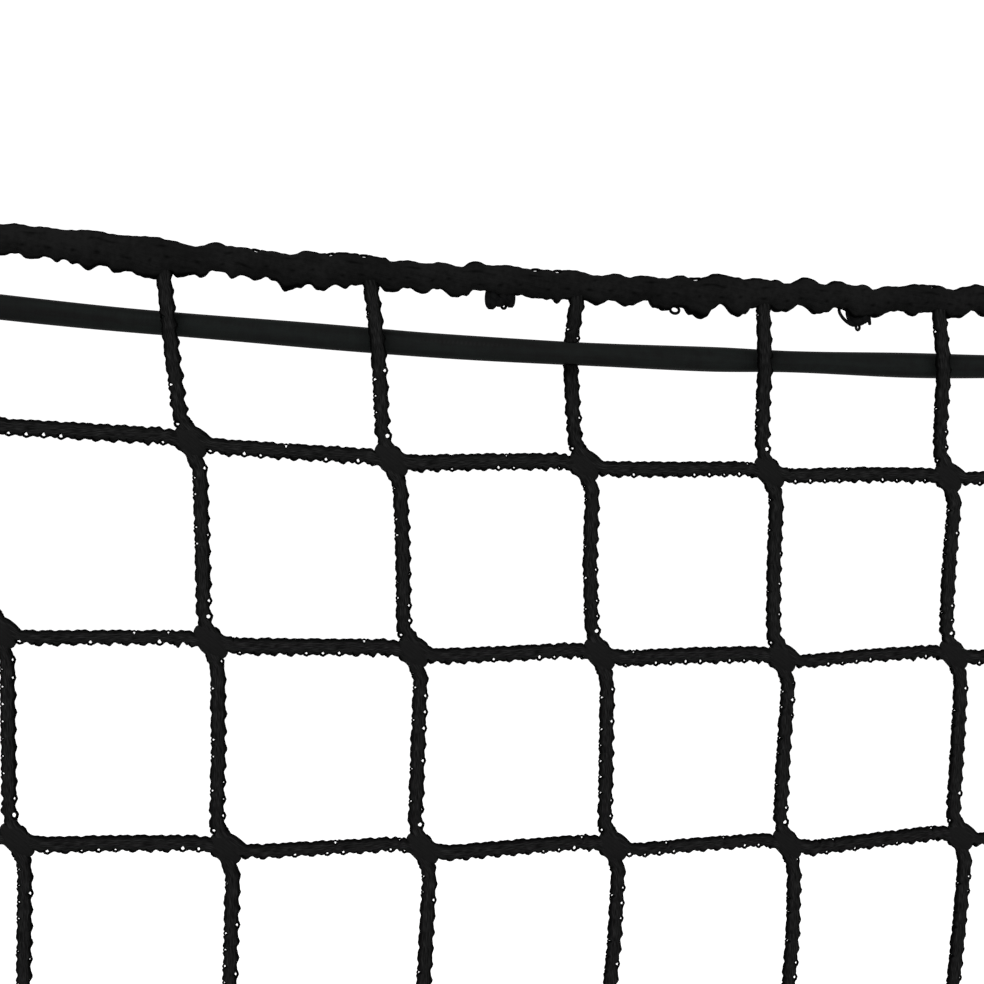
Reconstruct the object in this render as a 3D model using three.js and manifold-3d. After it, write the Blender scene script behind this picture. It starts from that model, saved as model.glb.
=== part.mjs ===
// A cargo net, cut 10 meshes wide and 7 deep: a knotless square-mesh panel of 3.5 mm knitted twine,
// a lumpy overlocked rope sewn along its top edge, and a smooth round elastic cord threaded
// through the top row of meshes, with a stopper knot at each end.
//
// Millimetres. X runs along the top edge, Y away from the viewer, Z up. The origin is on top of
// the border rope, at the middle of its length, where the net is held up.

import * as THREE from "three";
import { mergeVertices } from "three/addons/utils/BufferGeometryUtils.js";
import Module from "manifold-3d";

const wasm = await Module();
wasm.setup();

// Driving sizes of the net panel
const MESH = 45; // knot to knot along a row
const CELLS_WIDE = 10;
const STRAND_WIDE = 3.5; // across the braid, in the plane of the net
const STRAND_THICK = 2.5; // through the braid
const JOIN_LANE = 1.5; // half the distance between the two braids fused side by side in a join
const JOIN_CORNER = 1.6; // a braid starts to turn this far before the corner of its lane

// Each row of joins: how far it hangs below the rope's centreline, and how far it has crept sideways
const ROWS = [
  { drop: 41.2, creep: 4.8 },
  { drop: 85.7, creep: 10.1 },
  { drop: 131.4, creep: 13.7 },
  { drop: 176.6, creep: 16.8 },
  { drop: 221.6, creep: 19.6 },
  { drop: 266.8, creep: 22.2 },
  { drop: 311.7, creep: 24.6 },
];

// Each column of twine: where it leaves the rope beside its true place, how far it bows to the
// right above the first join, and on which side of it the elastic cord passes, 1 behind and -1 in
// front
const COLUMNS = [
  { lean: 0, bow: 0.2, cordSide: 1 },
  { lean: -0.6, bow: -0.2, cordSide: -1 },
  { lean: -1.7, bow: -0.3, cordSide: 1 },
  { lean: -1.4, bow: 0.2, cordSide: 1 },
  { lean: 1.4, bow: -0.9, cordSide: -1 },
  { lean: 1.1, bow: 0.1, cordSide: 1 },
  { lean: 0.7, bow: 0.4, cordSide: 1 },
  { lean: -0.4, bow: 0.2, cordSide: -1 },
  { lean: 0.7, bow: -0.3, cordSide: 1 },
  { lean: -0.5, bow: 0.4, cordSide: 1 },
  { lean: 0.2, bow: -0.2, cordSide: -1 },
];

// How far each join of the photographed part stands right of its place in the even net, and below
// it, and half the step from the strand above to the one below, and from the left to the right one.
// Rows from the top, columns from the second.
const SEEN_RIGHT = [
  [-0.2, -0.25, -0.35, -0.55, -0.2, 0.2],
  [-0.9, -0.25, 0.15, -0.55, -0.6, -1.1],
  [-0.25, 0, 0, 0.4, -0.4, -0.65],
  [0.3, 0.4, -0.4, -0.3, 0.6, -1.15],
];
const SEEN_BELOW = [
  [-1.6, -0.75, 0.7, -0.05, 0.5, 1.25],
  [-0.45, -0.75, -0.1, -0.3, 0.55, 0.4],
  [0, 0.15, -0.1, -0.1, 0.65, 0.3],
];
const SEEN_STEP_ASIDE = [
  [1.85, 2.2, 2.1, 2.2, 1.9, 2.05],
  [1.75, 1.5, 2, 1.95, 2.1, 2.2],
  [1.6, 1.75, 1.7, 1.75, 2, 1.8],
];
const SEEN_STEP_DOWN = [
  [0.85, 0.75, 0.55, 0.75, 0.8, 0.5],
  [1.05, 0.75, 0.95, 1, 1, 0.95],
  [0.95, 0.9, 1.15, 1.2, 1.25, 1.2],
];
const STEP_ASIDE = 1.9; // of the joins that aren't seen
const STEP_DOWN = 0.95;

// How the whole net hangs
const SAG = 9.4; // the middle of each row hangs this much lower than its ends
const WAVE = 7; // the free bottom edge stands this far out of the hanging plane
const WAVE_LENGTH = 270;
const WAVE_START = 0.9; // radians

// Border rope
const ROPE_THICK = 7;
const ROPE_PAST_EDGE = 8; // beyond the outer strands, at each end
const ROPE_STEPS = 112;
const ROPE_SIDES = 8;
const LUMP_UNDER = { high: 0.55, pitch: MESH / 5 }; // overlock stitches along the lower side
const LUMP_OVER = { high: 0.4, pitch: 20.5 }; // longer swellings along the upper side

// Elastic cord
const CORD_THICK = 5.5;
const CORD_DROP = 15.4; // its centreline below the rope's, at the middle
const CORD_SAG = 1.6; // it sags this much less than the rope
const CORD_DIP = { deep: 0.2, pitch: 117, start: 53 }; // and dips a little between strands
const CORD_SWING = 2.7; // it passes a strand this far off the hanging plane
const STRAND_GIVE = 1.8; // and pushes the strand this far to the other side
const GIVE_REACH = 8; // along the strand, each way
const CORD_SIDES = 8;
const CORD_STEPS = 70;

// Stopper knot at each end of the elastic cord: an overhand knot just outside the edge strand
const KNOT_UNIT = 1.2 * CORD_THICK;
const KNOT_STEPS = 40;
const KNOT_PAST_EDGE = 5; // from the outer strand's centre to the start of the knot

// The knot's turns in units of KNOT_UNIT: away from the net, up, and back from the viewer
const KNOT_TURNS = [
  { out: 0, up: 0, back: 0 },
  { out: 0.5, up: 0.05, back: 0.05 },
  { out: 1.65, up: 0.1, back: 0.42 },
  { out: 2.8, up: 0.02, back: 0.05 },
  { out: 3.8, up: -0.12, back: -0.42 },
  { out: 4.65, up: -0.95, back: -0.15 },
  { out: 4.05, up: -1.95, back: 0.35 },
  { out: 3, up: -2.3, back: 0.52 },
  { out: 1.85, up: -1.75, back: 0.2 },
  { out: 1.5, up: -0.75, back: -0.45 },
  { out: 1.85, up: 0.25, back: -0.72 },
  { out: 2.65, up: 1.1, back: -0.35 },
  { out: 3.65, up: 0.95, back: 0.35 },
  { out: 3.95, up: -0.05, back: 0.72 },
  { out: 3.3, up: -1.1, back: 0.25 },
  { out: 2.95, up: -2.1, back: -0.5 },
  { out: 2.9, up: -3.1, back: -0.6 },
  { out: 2.9, up: -4, back: -0.5 },
];

const SEAT_GAP = 0.3; // between pieces that touch

const HALF_WIDTH = (MESH * CELLS_WIDE) / 2;
const ROPE_END = HALF_WIDTH + ROPE_PAST_EDGE;
const CORD_END = HALF_WIDTH + KNOT_PAST_EDGE;
const LAST_ROW = ROWS.length - 1;

/** How much higher than at the middle the hanging curve stands at x. */
function sagAt(x) {
  return SAG * (x / HALF_WIDTH) ** 2;
}

/** Height of the rope's centreline at x. */
function ropeHeight(x) {
  return sagAt(x) - ROPE_THICK / 2;
}

/** Y of the hanging sheet: flat at the rope, in soft waves towards the free bottom edge. */
function waveAt(x, drop) {
  const fall = drop / ROWS[LAST_ROW].drop;
  return WAVE * fall ** 2 * Math.sin((2 * Math.PI * x) / WAVE_LENGTH + WAVE_START);
}

/** The point of the hanging net at x, a distance below the rope's centreline. */
function hang(x, drop) {
  return new THREE.Vector3(x, waveAt(x, drop), ropeHeight(x) - drop);
}

/** The measured value of a join, or the given one where the join isn't seen. */
function measured(table, row, column, otherwise) {
  return table[row]?.[column - 1] ?? otherwise;
}

/** Centre of a join, as x and drop. */
function joinAt(row, column) {
  const right = 0.5 * Math.sin(5.1 * row + 2.3 * column);
  const below = 0.5 * Math.sin(3.7 * row + 4.9 * column);
  return {
    x: MESH * column - HALF_WIDTH + ROWS[row].creep + measured(SEEN_RIGHT, row, column, right),
    drop: ROWS[row].drop + measured(SEEN_BELOW, row, column, below),
  };
}

/** x at which a column of twine leaves the rope. */
function columnTop(column) {
  return MESH * column - HALF_WIDTH + COLUMNS[column].lean;
}

/** A route that is straight between its stations, with one section of the sweep at each. */
class Route extends THREE.Curve {
  constructor(stations) {
    super();
    this.stations = stations;
  }

  getUtoTmapping(u) {
    return u;
  }

  getPoint(t, target = new THREE.Vector3()) {
    const last = this.stations.length - 1;
    const at = Math.min(Math.max(t, 0), 1) * last;
    const i = Math.min(Math.floor(at), last - 1);
    return target.lerpVectors(this.stations[i], this.stations[i + 1], at - i);
  }

  /** Frames that never roll: one side of the section keeps facing the viewer. */
  computeFrenetFrames(steps) {
    const viewer = new THREE.Vector3(0, -1, 0);
    const tangents = Array.from({ length: steps + 1 }, (_, i) => this.getTangent(i / steps));
    const binormals = tangents.map((t) => new THREE.Vector3().crossVectors(t, viewer).normalize());
    const normals = binormals.map((b, i) => new THREE.Vector3().crossVectors(b, tangents[i]));
    return { tangents, normals, binormals };
  }
}

/** An oval outline of a few straight sides, its corners on the oval. */
function ovalOutline(deep, wide, sides) {
  const corners = Array.from({ length: sides }, (_, i) => {
    const angle = (2 * Math.PI * i) / sides;
    return new THREE.Vector2((deep / 2) * Math.cos(angle), (wide / 2) * Math.sin(angle));
  });
  return new THREE.Shape(corners);
}

/** Sweeps an outline along its stations. */
function sweep(outline, stations) {
  return new THREE.ExtrudeGeometry(outline, {
    steps: stations.length - 1,
    extrudePath: new Route(stations),
    bevelEnabled: false,
  });
}

/** A geometry with its shared corners merged, as a solid for joining. */
function toSolid(geometry) {
  const bare = geometry.clone();
  bare.deleteAttribute("normal");
  bare.deleteAttribute("uv");
  const merged = mergeVertices(bare, 1e-4);
  return new wasm.Manifold(
    new wasm.Mesh({
      numProp: 3,
      vertProperties: merged.attributes.position.array,
      triVerts: new Uint32Array(merged.index.array),
    }),
  );
}

/** A joined solid as a geometry. */
function toGeometry(solid) {
  const { vertProperties, triVerts } = solid.getMesh();
  const geometry = new THREE.BufferGeometry();
  geometry.setAttribute("position", new THREE.BufferAttribute(vertProperties, 3));
  geometry.setIndex(new THREE.BufferAttribute(triVerts, 1));
  geometry.computeVertexNormals();
  return geometry;
}

/** Stations of the upper braid of a join, from above to the right, as steps right and down. */
function laneSteps(row, column) {
  const aside = measured(SEEN_STEP_ASIDE, row, column, STEP_ASIDE);
  const down = measured(SEEN_STEP_DOWN, row, column, STEP_DOWN);
  const lane = JOIN_LANE * Math.SQRT2;
  const turn = JOIN_CORNER / Math.SQRT2;
  return [
    [-aside, -aside - lane - JOIN_CORNER],
    [-aside + turn, -aside - lane + turn],
    [down + lane - turn, down - turn],
    [down + lane + JOIN_CORNER, down],
  ];
}

/** Stations through a join from above to the right, in its upper lane. */
function upperLane(row, column) {
  const { x, drop } = joinAt(row, column);
  return laneSteps(row, column).map(([right, down]) => hang(x + right, drop + down));
}

/** Stations through a join from the left downwards, in its lower lane: the same steps turned back. */
function lowerLane(row, column) {
  const { x, drop } = joinAt(row, column);
  const steps = laneSteps(row, column).reverse();
  return steps.map(([right, down]) => hang(x - right, drop - down));
}

/** Stations from the rope down past the elastic cord, which pushes the strand aside. */
function topStretch(column) {
  const top = columnTop(column);
  const { x, drop: joinDrop } = joinAt(0, column);
  const [right, down] = laneSteps(0, column)[0];
  const inRope = 1.5; // the strand would start this far below the rope's centreline
  const end = joinDrop + down;
  const at = (drop, give) => {
    const share = (drop - inRope) / (end - inRope);
    const bow = COLUMNS[column].bow * Math.sin(Math.PI * share);
    const point = hang(THREE.MathUtils.lerp(top, x + right, share) + bow, drop);
    point.y -= COLUMNS[column].cordSide * give;
    return point;
  };
  return [
    at(ROPE_THICK / 2 + LUMP_UNDER.high + SEAT_GAP, 0),
    at(CORD_DROP - GIVE_REACH, STRAND_GIVE * 0.35),
    at(CORD_DROP - GIVE_REACH / 3, STRAND_GIVE),
    at(CORD_DROP + GIVE_REACH / 3, STRAND_GIVE),
    at(CORD_DROP + GIVE_REACH, STRAND_GIVE * 0.35),
    at((CORD_DROP + GIVE_REACH + end) / 2, 0),
  ];
}

/** Follows one braid through the net, by turns down and to the right, until it meets an edge. */
function braid(stations, row, column) {
  while (true) {
    stations.push(...upperLane(row, column));
    column += 1;
    if (column > CELLS_WIDE) break;
    stations.push(...lowerLane(row, column));
    row += 1;
    if (row > LAST_ROW) break;
  }
  return stations;
}

/** Every braid of the panel: one from the rope in each column, one from each join of the left edge. */
function braids() {
  const fromRope = COLUMNS.map((_, column) => braid(topStretch(column), 0, column));
  const fromEdge = ROWS.slice(1).map((_, row) => braid(lowerLane(row, 0).slice(1), row + 1, 0));
  return [...fromRope, ...fromEdge];
}

/** The panel, its braids fused where they run side by side. */
function netPanel() {
  const flatToFlat = STRAND_WIDE / Math.cos(Math.PI / 6);
  const outline = ovalOutline(STRAND_THICK, flatToFlat, 6);
  const solids = braids().map((stations) => toSolid(sweep(outline, stations)));
  return toGeometry(solids.reduce((joined, next) => joined.add(next)));
}

/** The rope along the top edge, its overlock stitches raised as lumps. */
function borderRope() {
  const outline = ovalOutline(ROPE_THICK, ROPE_THICK, ROPE_SIDES);
  const stations = Array.from({ length: ROPE_STEPS + 1 }, (_, i) =>
    hang(ROPE_END * ((2 * i) / ROPE_STEPS - 1), 0),
  );
  const geometry = sweep(outline, stations);
  const at = geometry.attributes.position;
  const point = new THREE.Vector3();
  for (let i = 0; i < at.count; i++) {
    point.fromBufferAttribute(at, i);
    const centre = ropeHeight(point.x);
    const up = (point.z - centre) / (ROPE_THICK / 2);
    const under = LUMP_UNDER.high * Math.cos((2 * Math.PI * point.x) / LUMP_UNDER.pitch);
    const over = LUMP_OVER.high * Math.sin((2 * Math.PI * point.x) / LUMP_OVER.pitch);
    const swell = 1 + (up < 0 ? -up * under : up * over) / (ROPE_THICK / 2);
    at.setXYZ(i, point.x, point.y * swell, centre + (point.z - centre) * swell);
  }
  return geometry;
}

/** Y of the elastic cord at x: smooth swings from one side of the columns to the other. */
function cordDepth(x) {
  const place = THREE.MathUtils.clamp((x + HALF_WIDTH) / MESH, 0, CELLS_WIDE);
  const left = Math.min(Math.floor(place), CELLS_WIDE - 1);
  const share = THREE.MathUtils.smoothstep(place - left, 0.12, 0.88);
  const { lerp } = THREE.MathUtils;
  return CORD_SWING * lerp(COLUMNS[left].cordSide, COLUMNS[left + 1].cordSide, share);
}

/** The point of the elastic cord's centreline at x. */
function cordPoint(x) {
  const { deep, pitch, start } = CORD_DIP;
  const dip = deep * Math.cos((2 * Math.PI * (x + start)) / pitch);
  const rise = CORD_SAG * (x / HALF_WIDTH) ** 2 - dip;
  return new THREE.Vector3(x, cordDepth(x), ropeHeight(x) - CORD_DROP + rise);
}

/** The elastic cord from knot to knot. */
function elasticCord() {
  const stations = Array.from({ length: CORD_STEPS + 1 }, (_, i) =>
    cordPoint(CORD_END * ((2 * i) / CORD_STEPS - 1)),
  );
  return sweep(ovalOutline(CORD_THICK, CORD_THICK, CORD_SIDES), stations);
}

/** The stopper knot past one edge of the net, which is the left for side -1 and the right for 1. */
function stopperKnot(side) {
  const start = cordPoint(side * (CORD_END + SEAT_GAP));
  const turns = KNOT_TURNS.map(({ out, up, back }) =>
    new THREE.Vector3(side * out, back, up).multiplyScalar(KNOT_UNIT).add(start),
  );
  return new THREE.ExtrudeGeometry(ovalOutline(CORD_THICK, CORD_THICK, CORD_SIDES), {
    steps: KNOT_STEPS,
    extrudePath: new THREE.CatmullRomCurve3(turns),
    bevelEnabled: false,
  });
}

const group = new THREE.Group();

/** Adds a named piece with its own finish. */
function addPiece(name, geometry, color, roughness) {
  const material = new THREE.MeshStandardMaterial({ color, roughness, metalness: 0 });
  const mesh = new THREE.Mesh(geometry, material);
  mesh.name = name;
  group.add(mesh);
}

addPiece("net_panel", netPanel(), 0x18191a, 0.9);
addPiece("border_rope", borderRope(), 0x161718, 0.92);
addPiece("elastic_cord", elasticCord(), 0x1d2020, 0.5);
addPiece("cord_knot_left", stopperKnot(-1), 0x1d2020, 0.5);
addPiece("cord_knot_right", stopperKnot(1), 0x1d2020, 0.5);

export default group;
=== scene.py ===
# %% [markdown]
# # A cargo net with a border rope and an elastic cord
#
# The net is knitted without knots from black twine. A lumpy rope is overlocked along its top edge,
# and a smooth elastic cord runs through the top row of meshes. Seen from two steps away it is only
# a black lattice, so the likeness is in the outline: the stitch loops along each strand, the thick
# joins with one soft corner on each side, the lumps and cut ends on the rope.
#
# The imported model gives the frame. It holds every strand at its true place, and the pieces made
# here follow the same routes, in metres, with X along the top edge, Y away from the viewer, Z up.

import math

import bpy
import numpy as np
from mathutils import Matrix, Vector


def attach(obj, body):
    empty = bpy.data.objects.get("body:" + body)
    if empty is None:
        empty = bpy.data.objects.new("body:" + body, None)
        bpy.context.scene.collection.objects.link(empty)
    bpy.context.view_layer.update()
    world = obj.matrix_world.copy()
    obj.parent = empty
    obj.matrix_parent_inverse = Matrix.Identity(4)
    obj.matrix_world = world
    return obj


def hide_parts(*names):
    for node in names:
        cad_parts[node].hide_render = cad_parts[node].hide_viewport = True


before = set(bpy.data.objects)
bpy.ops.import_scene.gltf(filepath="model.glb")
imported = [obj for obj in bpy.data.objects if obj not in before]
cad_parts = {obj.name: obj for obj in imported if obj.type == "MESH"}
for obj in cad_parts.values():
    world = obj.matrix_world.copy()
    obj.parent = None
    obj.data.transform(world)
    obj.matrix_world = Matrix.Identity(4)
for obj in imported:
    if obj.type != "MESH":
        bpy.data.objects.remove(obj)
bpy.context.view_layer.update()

# %% [markdown]
# ## The camera
#
# A camera can be placed by eye, but a lattice shows every degree of error as a slant. Here the
# place and the three angles were worked out once from the joins of the net, which stand at known
# distances from each other, and the lens follows from the angle of view.

# %% Camera
CAMERA_PLACE = Vector((-0.1221, -0.3390, -0.0291))
CAMERA_YAW = math.radians(10.03)  # from +Y towards +X
CAMERA_PITCH = math.radians(-3.63)
CAMERA_ROLL = math.radians(1.6)
CAMERA_LENS = 54.88  # millimetres, on a sensor 36 mm wide


def camera_matrix():
    """The camera's own axes as columns: right, up, and backwards along its line of sight."""
    sight = Vector(
        (
            math.sin(CAMERA_YAW) * math.cos(CAMERA_PITCH),
            math.cos(CAMERA_YAW) * math.cos(CAMERA_PITCH),
            math.sin(CAMERA_PITCH),
        )
    )
    level = Vector((math.cos(CAMERA_YAW), -math.sin(CAMERA_YAW), 0))
    upright = level.cross(sight)
    right = math.cos(CAMERA_ROLL) * level + math.sin(CAMERA_ROLL) * upright
    up = math.cos(CAMERA_ROLL) * upright - math.sin(CAMERA_ROLL) * level
    turn = Matrix((right, up, -sight)).transposed().to_4x4()
    return Matrix.Translation(CAMERA_PLACE) @ turn


camera_data = bpy.data.cameras.new("camera")
camera_data.lens = CAMERA_LENS
camera_data.clip_start = 0.01
camera = bpy.data.objects.new("camera", camera_data)
camera.matrix_world = camera_matrix()
bpy.context.scene.collection.objects.link(camera)
bpy.context.scene.camera = camera
print("camera at", [round(value, 3) for value in CAMERA_PLACE])

# %% [markdown]
# ## The curve that the net hangs in
#
# The rope is held up near its ends and sags a little between them, and the rows of the net repeat
# that sag. Lower down the free cloth also stands in soft waves. Every piece below asks the same
# two functions where it is, so that nothing has to be fitted to its neighbour afterwards.

# %% The hanging curve
MM = 0.001
MESH = 45 * MM  # from join to join
CELLS_WIDE = 10
HALF_WIDTH = MESH * CELLS_WIDE / 2
SAG = 9.4 * MM  # how much lower than its ends the middle of a row hangs
ROPE_THICK = 7 * MM
# How far each row of joins hangs below the rope's middle, and how far right it has crept
ROW_DROP = np.array([41.2, 85.7, 131.4, 176.6, 221.6, 266.8, 311.7]) * MM
ROW_CREEP = np.array([4.8, 10.1, 13.7, 16.8, 19.6, 22.2, 24.6]) * MM
LAST_ROW = len(ROW_DROP) - 1
WAVE = 7 * MM  # how far the lowest row stands out of the plane, to the front and to the back
WAVE_LENGTH = 270 * MM
WAVE_START = 0.9  # in radians


def rope_height(x):
    """Height of the rope's middle: a parabola, highest at the ends of the net."""
    return SAG * (x / HALF_WIDTH) ** 2 - ROPE_THICK / 2


def hang(x, drop):
    """Points of the hanging sheet: x, then a sine wave in Y that grows with the square of the drop
    below the rope, then the rope's height less that drop."""
    x, drop = np.broadcast_arrays(np.asarray(x, float), np.asarray(drop, float))
    fall = drop / ROW_DROP[LAST_ROW]
    wave = WAVE * fall**2 * np.sin(2 * np.pi * x / WAVE_LENGTH + WAVE_START)
    return np.stack([x, wave, rope_height(x) - drop], axis=-1)


print("top edge", hang([-HALF_WIDTH, 0, HALF_WIDTH], 0).round(4).tolist())

# %% [markdown]
# ## From a line to a yarn
#
# Twine, thread, rope and cord are all round sections carried along a line. Blender's curves can do
# that, but a knit needs thousands of small bends with a section that never rolls, so the rings are
# worked out here as arrays: one row of numbers for each ring, and no loop over the points. A tube
# also carries its own pattern coordinates, once round it and metres along it, for the twist of its
# fibres to follow.

# %% Tubes as arrays
GIRTH = "girth"  # the UV map: turns round the tube, metres along it
PAINTED_SHADE_AND_WEAR = "painted_shade_and_wear"  # the attribute of every point: 1 where shade is painted darkest, -1 where it is worn smooth
VIEWER = np.array([0.0, -1.0, 0.0])  # the direction from the net to the viewer


def unit(vectors):
    """Each vector divided by its own length."""
    return vectors / np.linalg.norm(vectors, axis=-1, keepdims=True)


def distance_along(points):
    """The sum of the steps from the first point to each point."""
    steps = np.linalg.norm(np.diff(points, axis=0), axis=1)
    return np.concatenate([[0], np.cumsum(steps)])


def rings_round(line, radius, sides, facing, flat=1.0):
    """Rings of points round a line, as an array (rings, sides, 3). Ring i is the line's point i
    plus radius times (cos a across + sin a facing flat), for angles a evenly round the ring, where
    facing is the given direction made square to the line, and across is square to both."""
    along = unit(np.gradient(line, axis=0))
    facing = np.broadcast_to(np.asarray(facing, float), line.shape)
    facing = unit(facing - (facing * along).sum(1, keepdims=True) * along)
    across = np.cross(facing, along)
    turn = 2 * np.pi * np.arange(sides) / sides
    radius = np.broadcast_to(np.asarray(radius, float), (len(line),))[:, None, None]
    ring = across[:, None] * np.cos(turn)[None, :, None]
    ring = ring + facing[:, None] * np.sin(turn)[None, :, None] * flat
    return line[:, None] + radius * ring


def stitched(rings, metres, painted_shade_and_wear=0.0):
    """Rings of points joined by quads, with a flat cap at each end. The quad of ring i and side j
    has the corners (i, j), (i, j + 1), (i + 1, j + 1), (i + 1, j)."""
    count, sides = rings.shape[:2]
    here = np.arange(count * sides).reshape(count, sides)
    after = np.roll(here, -1, axis=1)
    quads = np.stack([here[:-1], after[:-1], after[1:], here[1:]], axis=-1).reshape(-1, 4)
    around = np.broadcast_to(np.arange(sides) / sides, (count - 1, sides))
    low = np.broadcast_to(metres[:-1, None], (count - 1, sides))
    high = np.broadcast_to(metres[1:, None], (count - 1, sides))
    step = 1 / sides
    corners = [(around, low), (around + step, low), (around + step, high), (around, high)]
    uv = np.stack([np.stack(corner, axis=-1) for corner in corners], axis=2).reshape(-1, 4, 2)
    caps = np.stack([here[0, ::-1], here[-1]])
    painted_shade_and_wear = np.broadcast_to(painted_shade_and_wear, (count, sides)).ravel()
    return {"points": rings.reshape(-1, 3), "quads": quads, "uv": uv, "painted_shade_and_wear": painted_shade_and_wear, "caps": [caps]}


def tube(line, radius, sides, facing):
    """A closed tube round a line."""
    return stitched(rings_round(line, radius, sides, facing), distance_along(line))


def gathered(shapes):
    """Many shapes as one: each shape's corner numbers move up by the points before it."""
    starts = np.cumsum([0] + [len(shape["points"]) for shape in shapes])
    whole = {key: np.concatenate([shape[key] for shape in shapes]) for key in ("points", "uv", "painted_shade_and_wear")}
    whole["quads"] = np.concatenate([shape["quads"] + start for shape, start in zip(shapes, starts)])
    whole["caps"] = [ends + start for shape, start in zip(shapes, starts) for ends in shape["caps"]]
    return whole


def triangles_of(shape):
    """How many triangles a shape has: two for each quad, and its sides less two for each cap."""
    caps = sum(len(ends) * (ends.shape[1] - 2) for ends in shape["caps"])
    return 2 * len(shape["quads"]) + caps


thread = tube(hang(np.linspace(0, MESH, 10), 0), 0.5 * MM, 6, VIEWER)
print("a thread of 10 rings and 6 sides has", triangles_of(thread), "triangles")


# %% From arrays to a piece
def mesh_of(name, shape):
    """A shape's arrays as a mesh, smooth on the sides and flat on the caps."""
    faces = [shape["quads"], *shape["caps"]]
    sizes = np.concatenate([np.full(len(some), some.shape[1]) for some in faces])
    corners = np.concatenate([some.ravel() for some in faces])
    mesh = bpy.data.meshes.new(name)
    mesh.vertices.add(len(shape["points"]))
    mesh.vertices.foreach_set("co", shape["points"].astype(np.float32).ravel())
    mesh.loops.add(len(corners))
    mesh.loops.foreach_set("vertex_index", corners.astype(np.int32))
    mesh.polygons.add(len(sizes))
    starts = np.concatenate([[0], np.cumsum(sizes)[:-1]])
    mesh.polygons.foreach_set("loop_start", starts.astype(np.int32))
    mesh.polygons.foreach_set("use_smooth", np.arange(len(sizes)) < len(faces[0]))
    mesh.update(calc_edges=True)
    uv = np.zeros((len(corners), 2), np.float32)
    uv[: faces[0].size] = shape["uv"].reshape(-1, 2)
    mesh.uv_layers.new(name=GIRTH).data.foreach_set("uv", uv.ravel())
    if shape["painted_shade_and_wear"].any():
        dark = mesh.attributes.new(PAINTED_SHADE_AND_WEAR, "FLOAT", "POINT")
        dark.data.foreach_set("value", shape["painted_shade_and_wear"].astype(np.float32))
    return mesh


def make_piece(name, shape, material, replaces=()):
    """Puts a shape into the scene as a piece of the net, in the place of the given CAD nodes."""
    mesh = mesh_of(name, shape)
    mesh.materials.append(material)
    piece = bpy.data.objects.new(name, mesh)
    bpy.context.scene.collection.objects.link(piece)
    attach(piece, "root")
    if replaces:
        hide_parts(*replaces)
    print(name, triangles_of(shape), "triangles")
    return piece


print("every piece carries the UV map", GIRTH, "and the darkened ones the attribute", PAINTED_SHADE_AND_WEAR)

# %% [markdown]
# ## Black fibre
#
# Black yarn is never one black. Each yarn is twisted from a few plies, and the plies from fine
# filaments, so light runs over it in short slanting streaks, and dust greys the high places. Here those
# streaks are painted highlights in the colour, and the grooves between the plies painted shade. An
# image could hold that, but the pattern has to follow thousands of bends, so it is worked out from the
# tube's own coordinates. Both effects are node groups, because every soft piece here has them in its
# own measure.

# %% Helpers for node groups
def new_group(name, inputs, outputs):
    """An empty shader group. An input is a number, given with its starting value, or a vector where
    that is None, and all the outputs are numbers."""
    group = bpy.data.node_groups.new(name, "ShaderNodeTree")
    for label, value in inputs.items():
        kind = "NodeSocketVector" if value is None else "NodeSocketFloat"
        socket = group.interface.new_socket(name=label, in_out="INPUT", socket_type=kind)
        if value is not None:
            socket.default_value = value
    for label in outputs:
        group.interface.new_socket(name=label, in_out="OUTPUT", socket_type="NodeSocketFloat")
    return group, group.nodes.new("NodeGroupInput"), group.nodes.new("NodeGroupOutput")


def feed(tree, socket, value):
    """Gives a socket its value: another node's output, or a constant."""
    if isinstance(value, bpy.types.NodeSocket):
        tree.links.new(value, socket)
    else:
        socket.default_value = value


def maths(tree, operation, *values):
    """One Math node; each value is a number or another node's output."""
    node = tree.nodes.new("ShaderNodeMath")
    node.operation = operation
    for socket, value in zip(node.inputs, values):
        feed(tree, socket, value)
    return node.outputs[0]


def apart(tree, first, second):
    """The size of the difference between two values."""
    return maths(tree, "ABSOLUTE", maths(tree, "SUBTRACT", first, second))


def ranged(tree, value, start=0.0, end=1.0, low=0.0, high=1.0, kind="LINEAR"):
    """Carries start to low and end to high, and holds the value there beyond them."""
    node = tree.nodes.new("ShaderNodeMapRange")
    node.interpolation_type = kind
    for name, number in (("From Min", start), ("From Max", end), ("To Min", low), ("To Max", high)):
        node.inputs[name].default_value = number
    tree.links.new(value, node.inputs["Value"])
    return node.outputs[0]


def noise(tree, place, scale, detail, dimensions="3D"):
    """Noise at a place, which is a vector, or one number where there is one dimension."""
    node = tree.nodes.new("ShaderNodeTexNoise")
    node.noise_dimensions = dimensions
    feed(tree, node.inputs["W" if dimensions == "1D" else "Vector"], place)
    feed(tree, node.inputs["Scale"], scale)
    node.inputs["Detail"].default_value = detail
    return node.outputs[0]


def place_of(tree, first, second):
    """A vector from its first two numbers."""
    node = tree.nodes.new("ShaderNodeCombineXYZ")
    tree.links.new(first, node.inputs[0])
    tree.links.new(second, node.inputs[1])
    return node.outputs[0]


def turns_and_metres(group, given):
    """The pattern coordinates that a group is given: turns round the tube, metres along it."""
    node = group.nodes.new("ShaderNodeSeparateXYZ")
    group.links.new(given.outputs["Along"], node.inputs[0])
    return node.outputs[0], node.outputs[1]


print("shader nodes of Blender", bpy.app.version_string)

# %% The twist of a yarn
PLY_SHARE = 0.65  # of the relief; the rest is filaments


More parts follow.
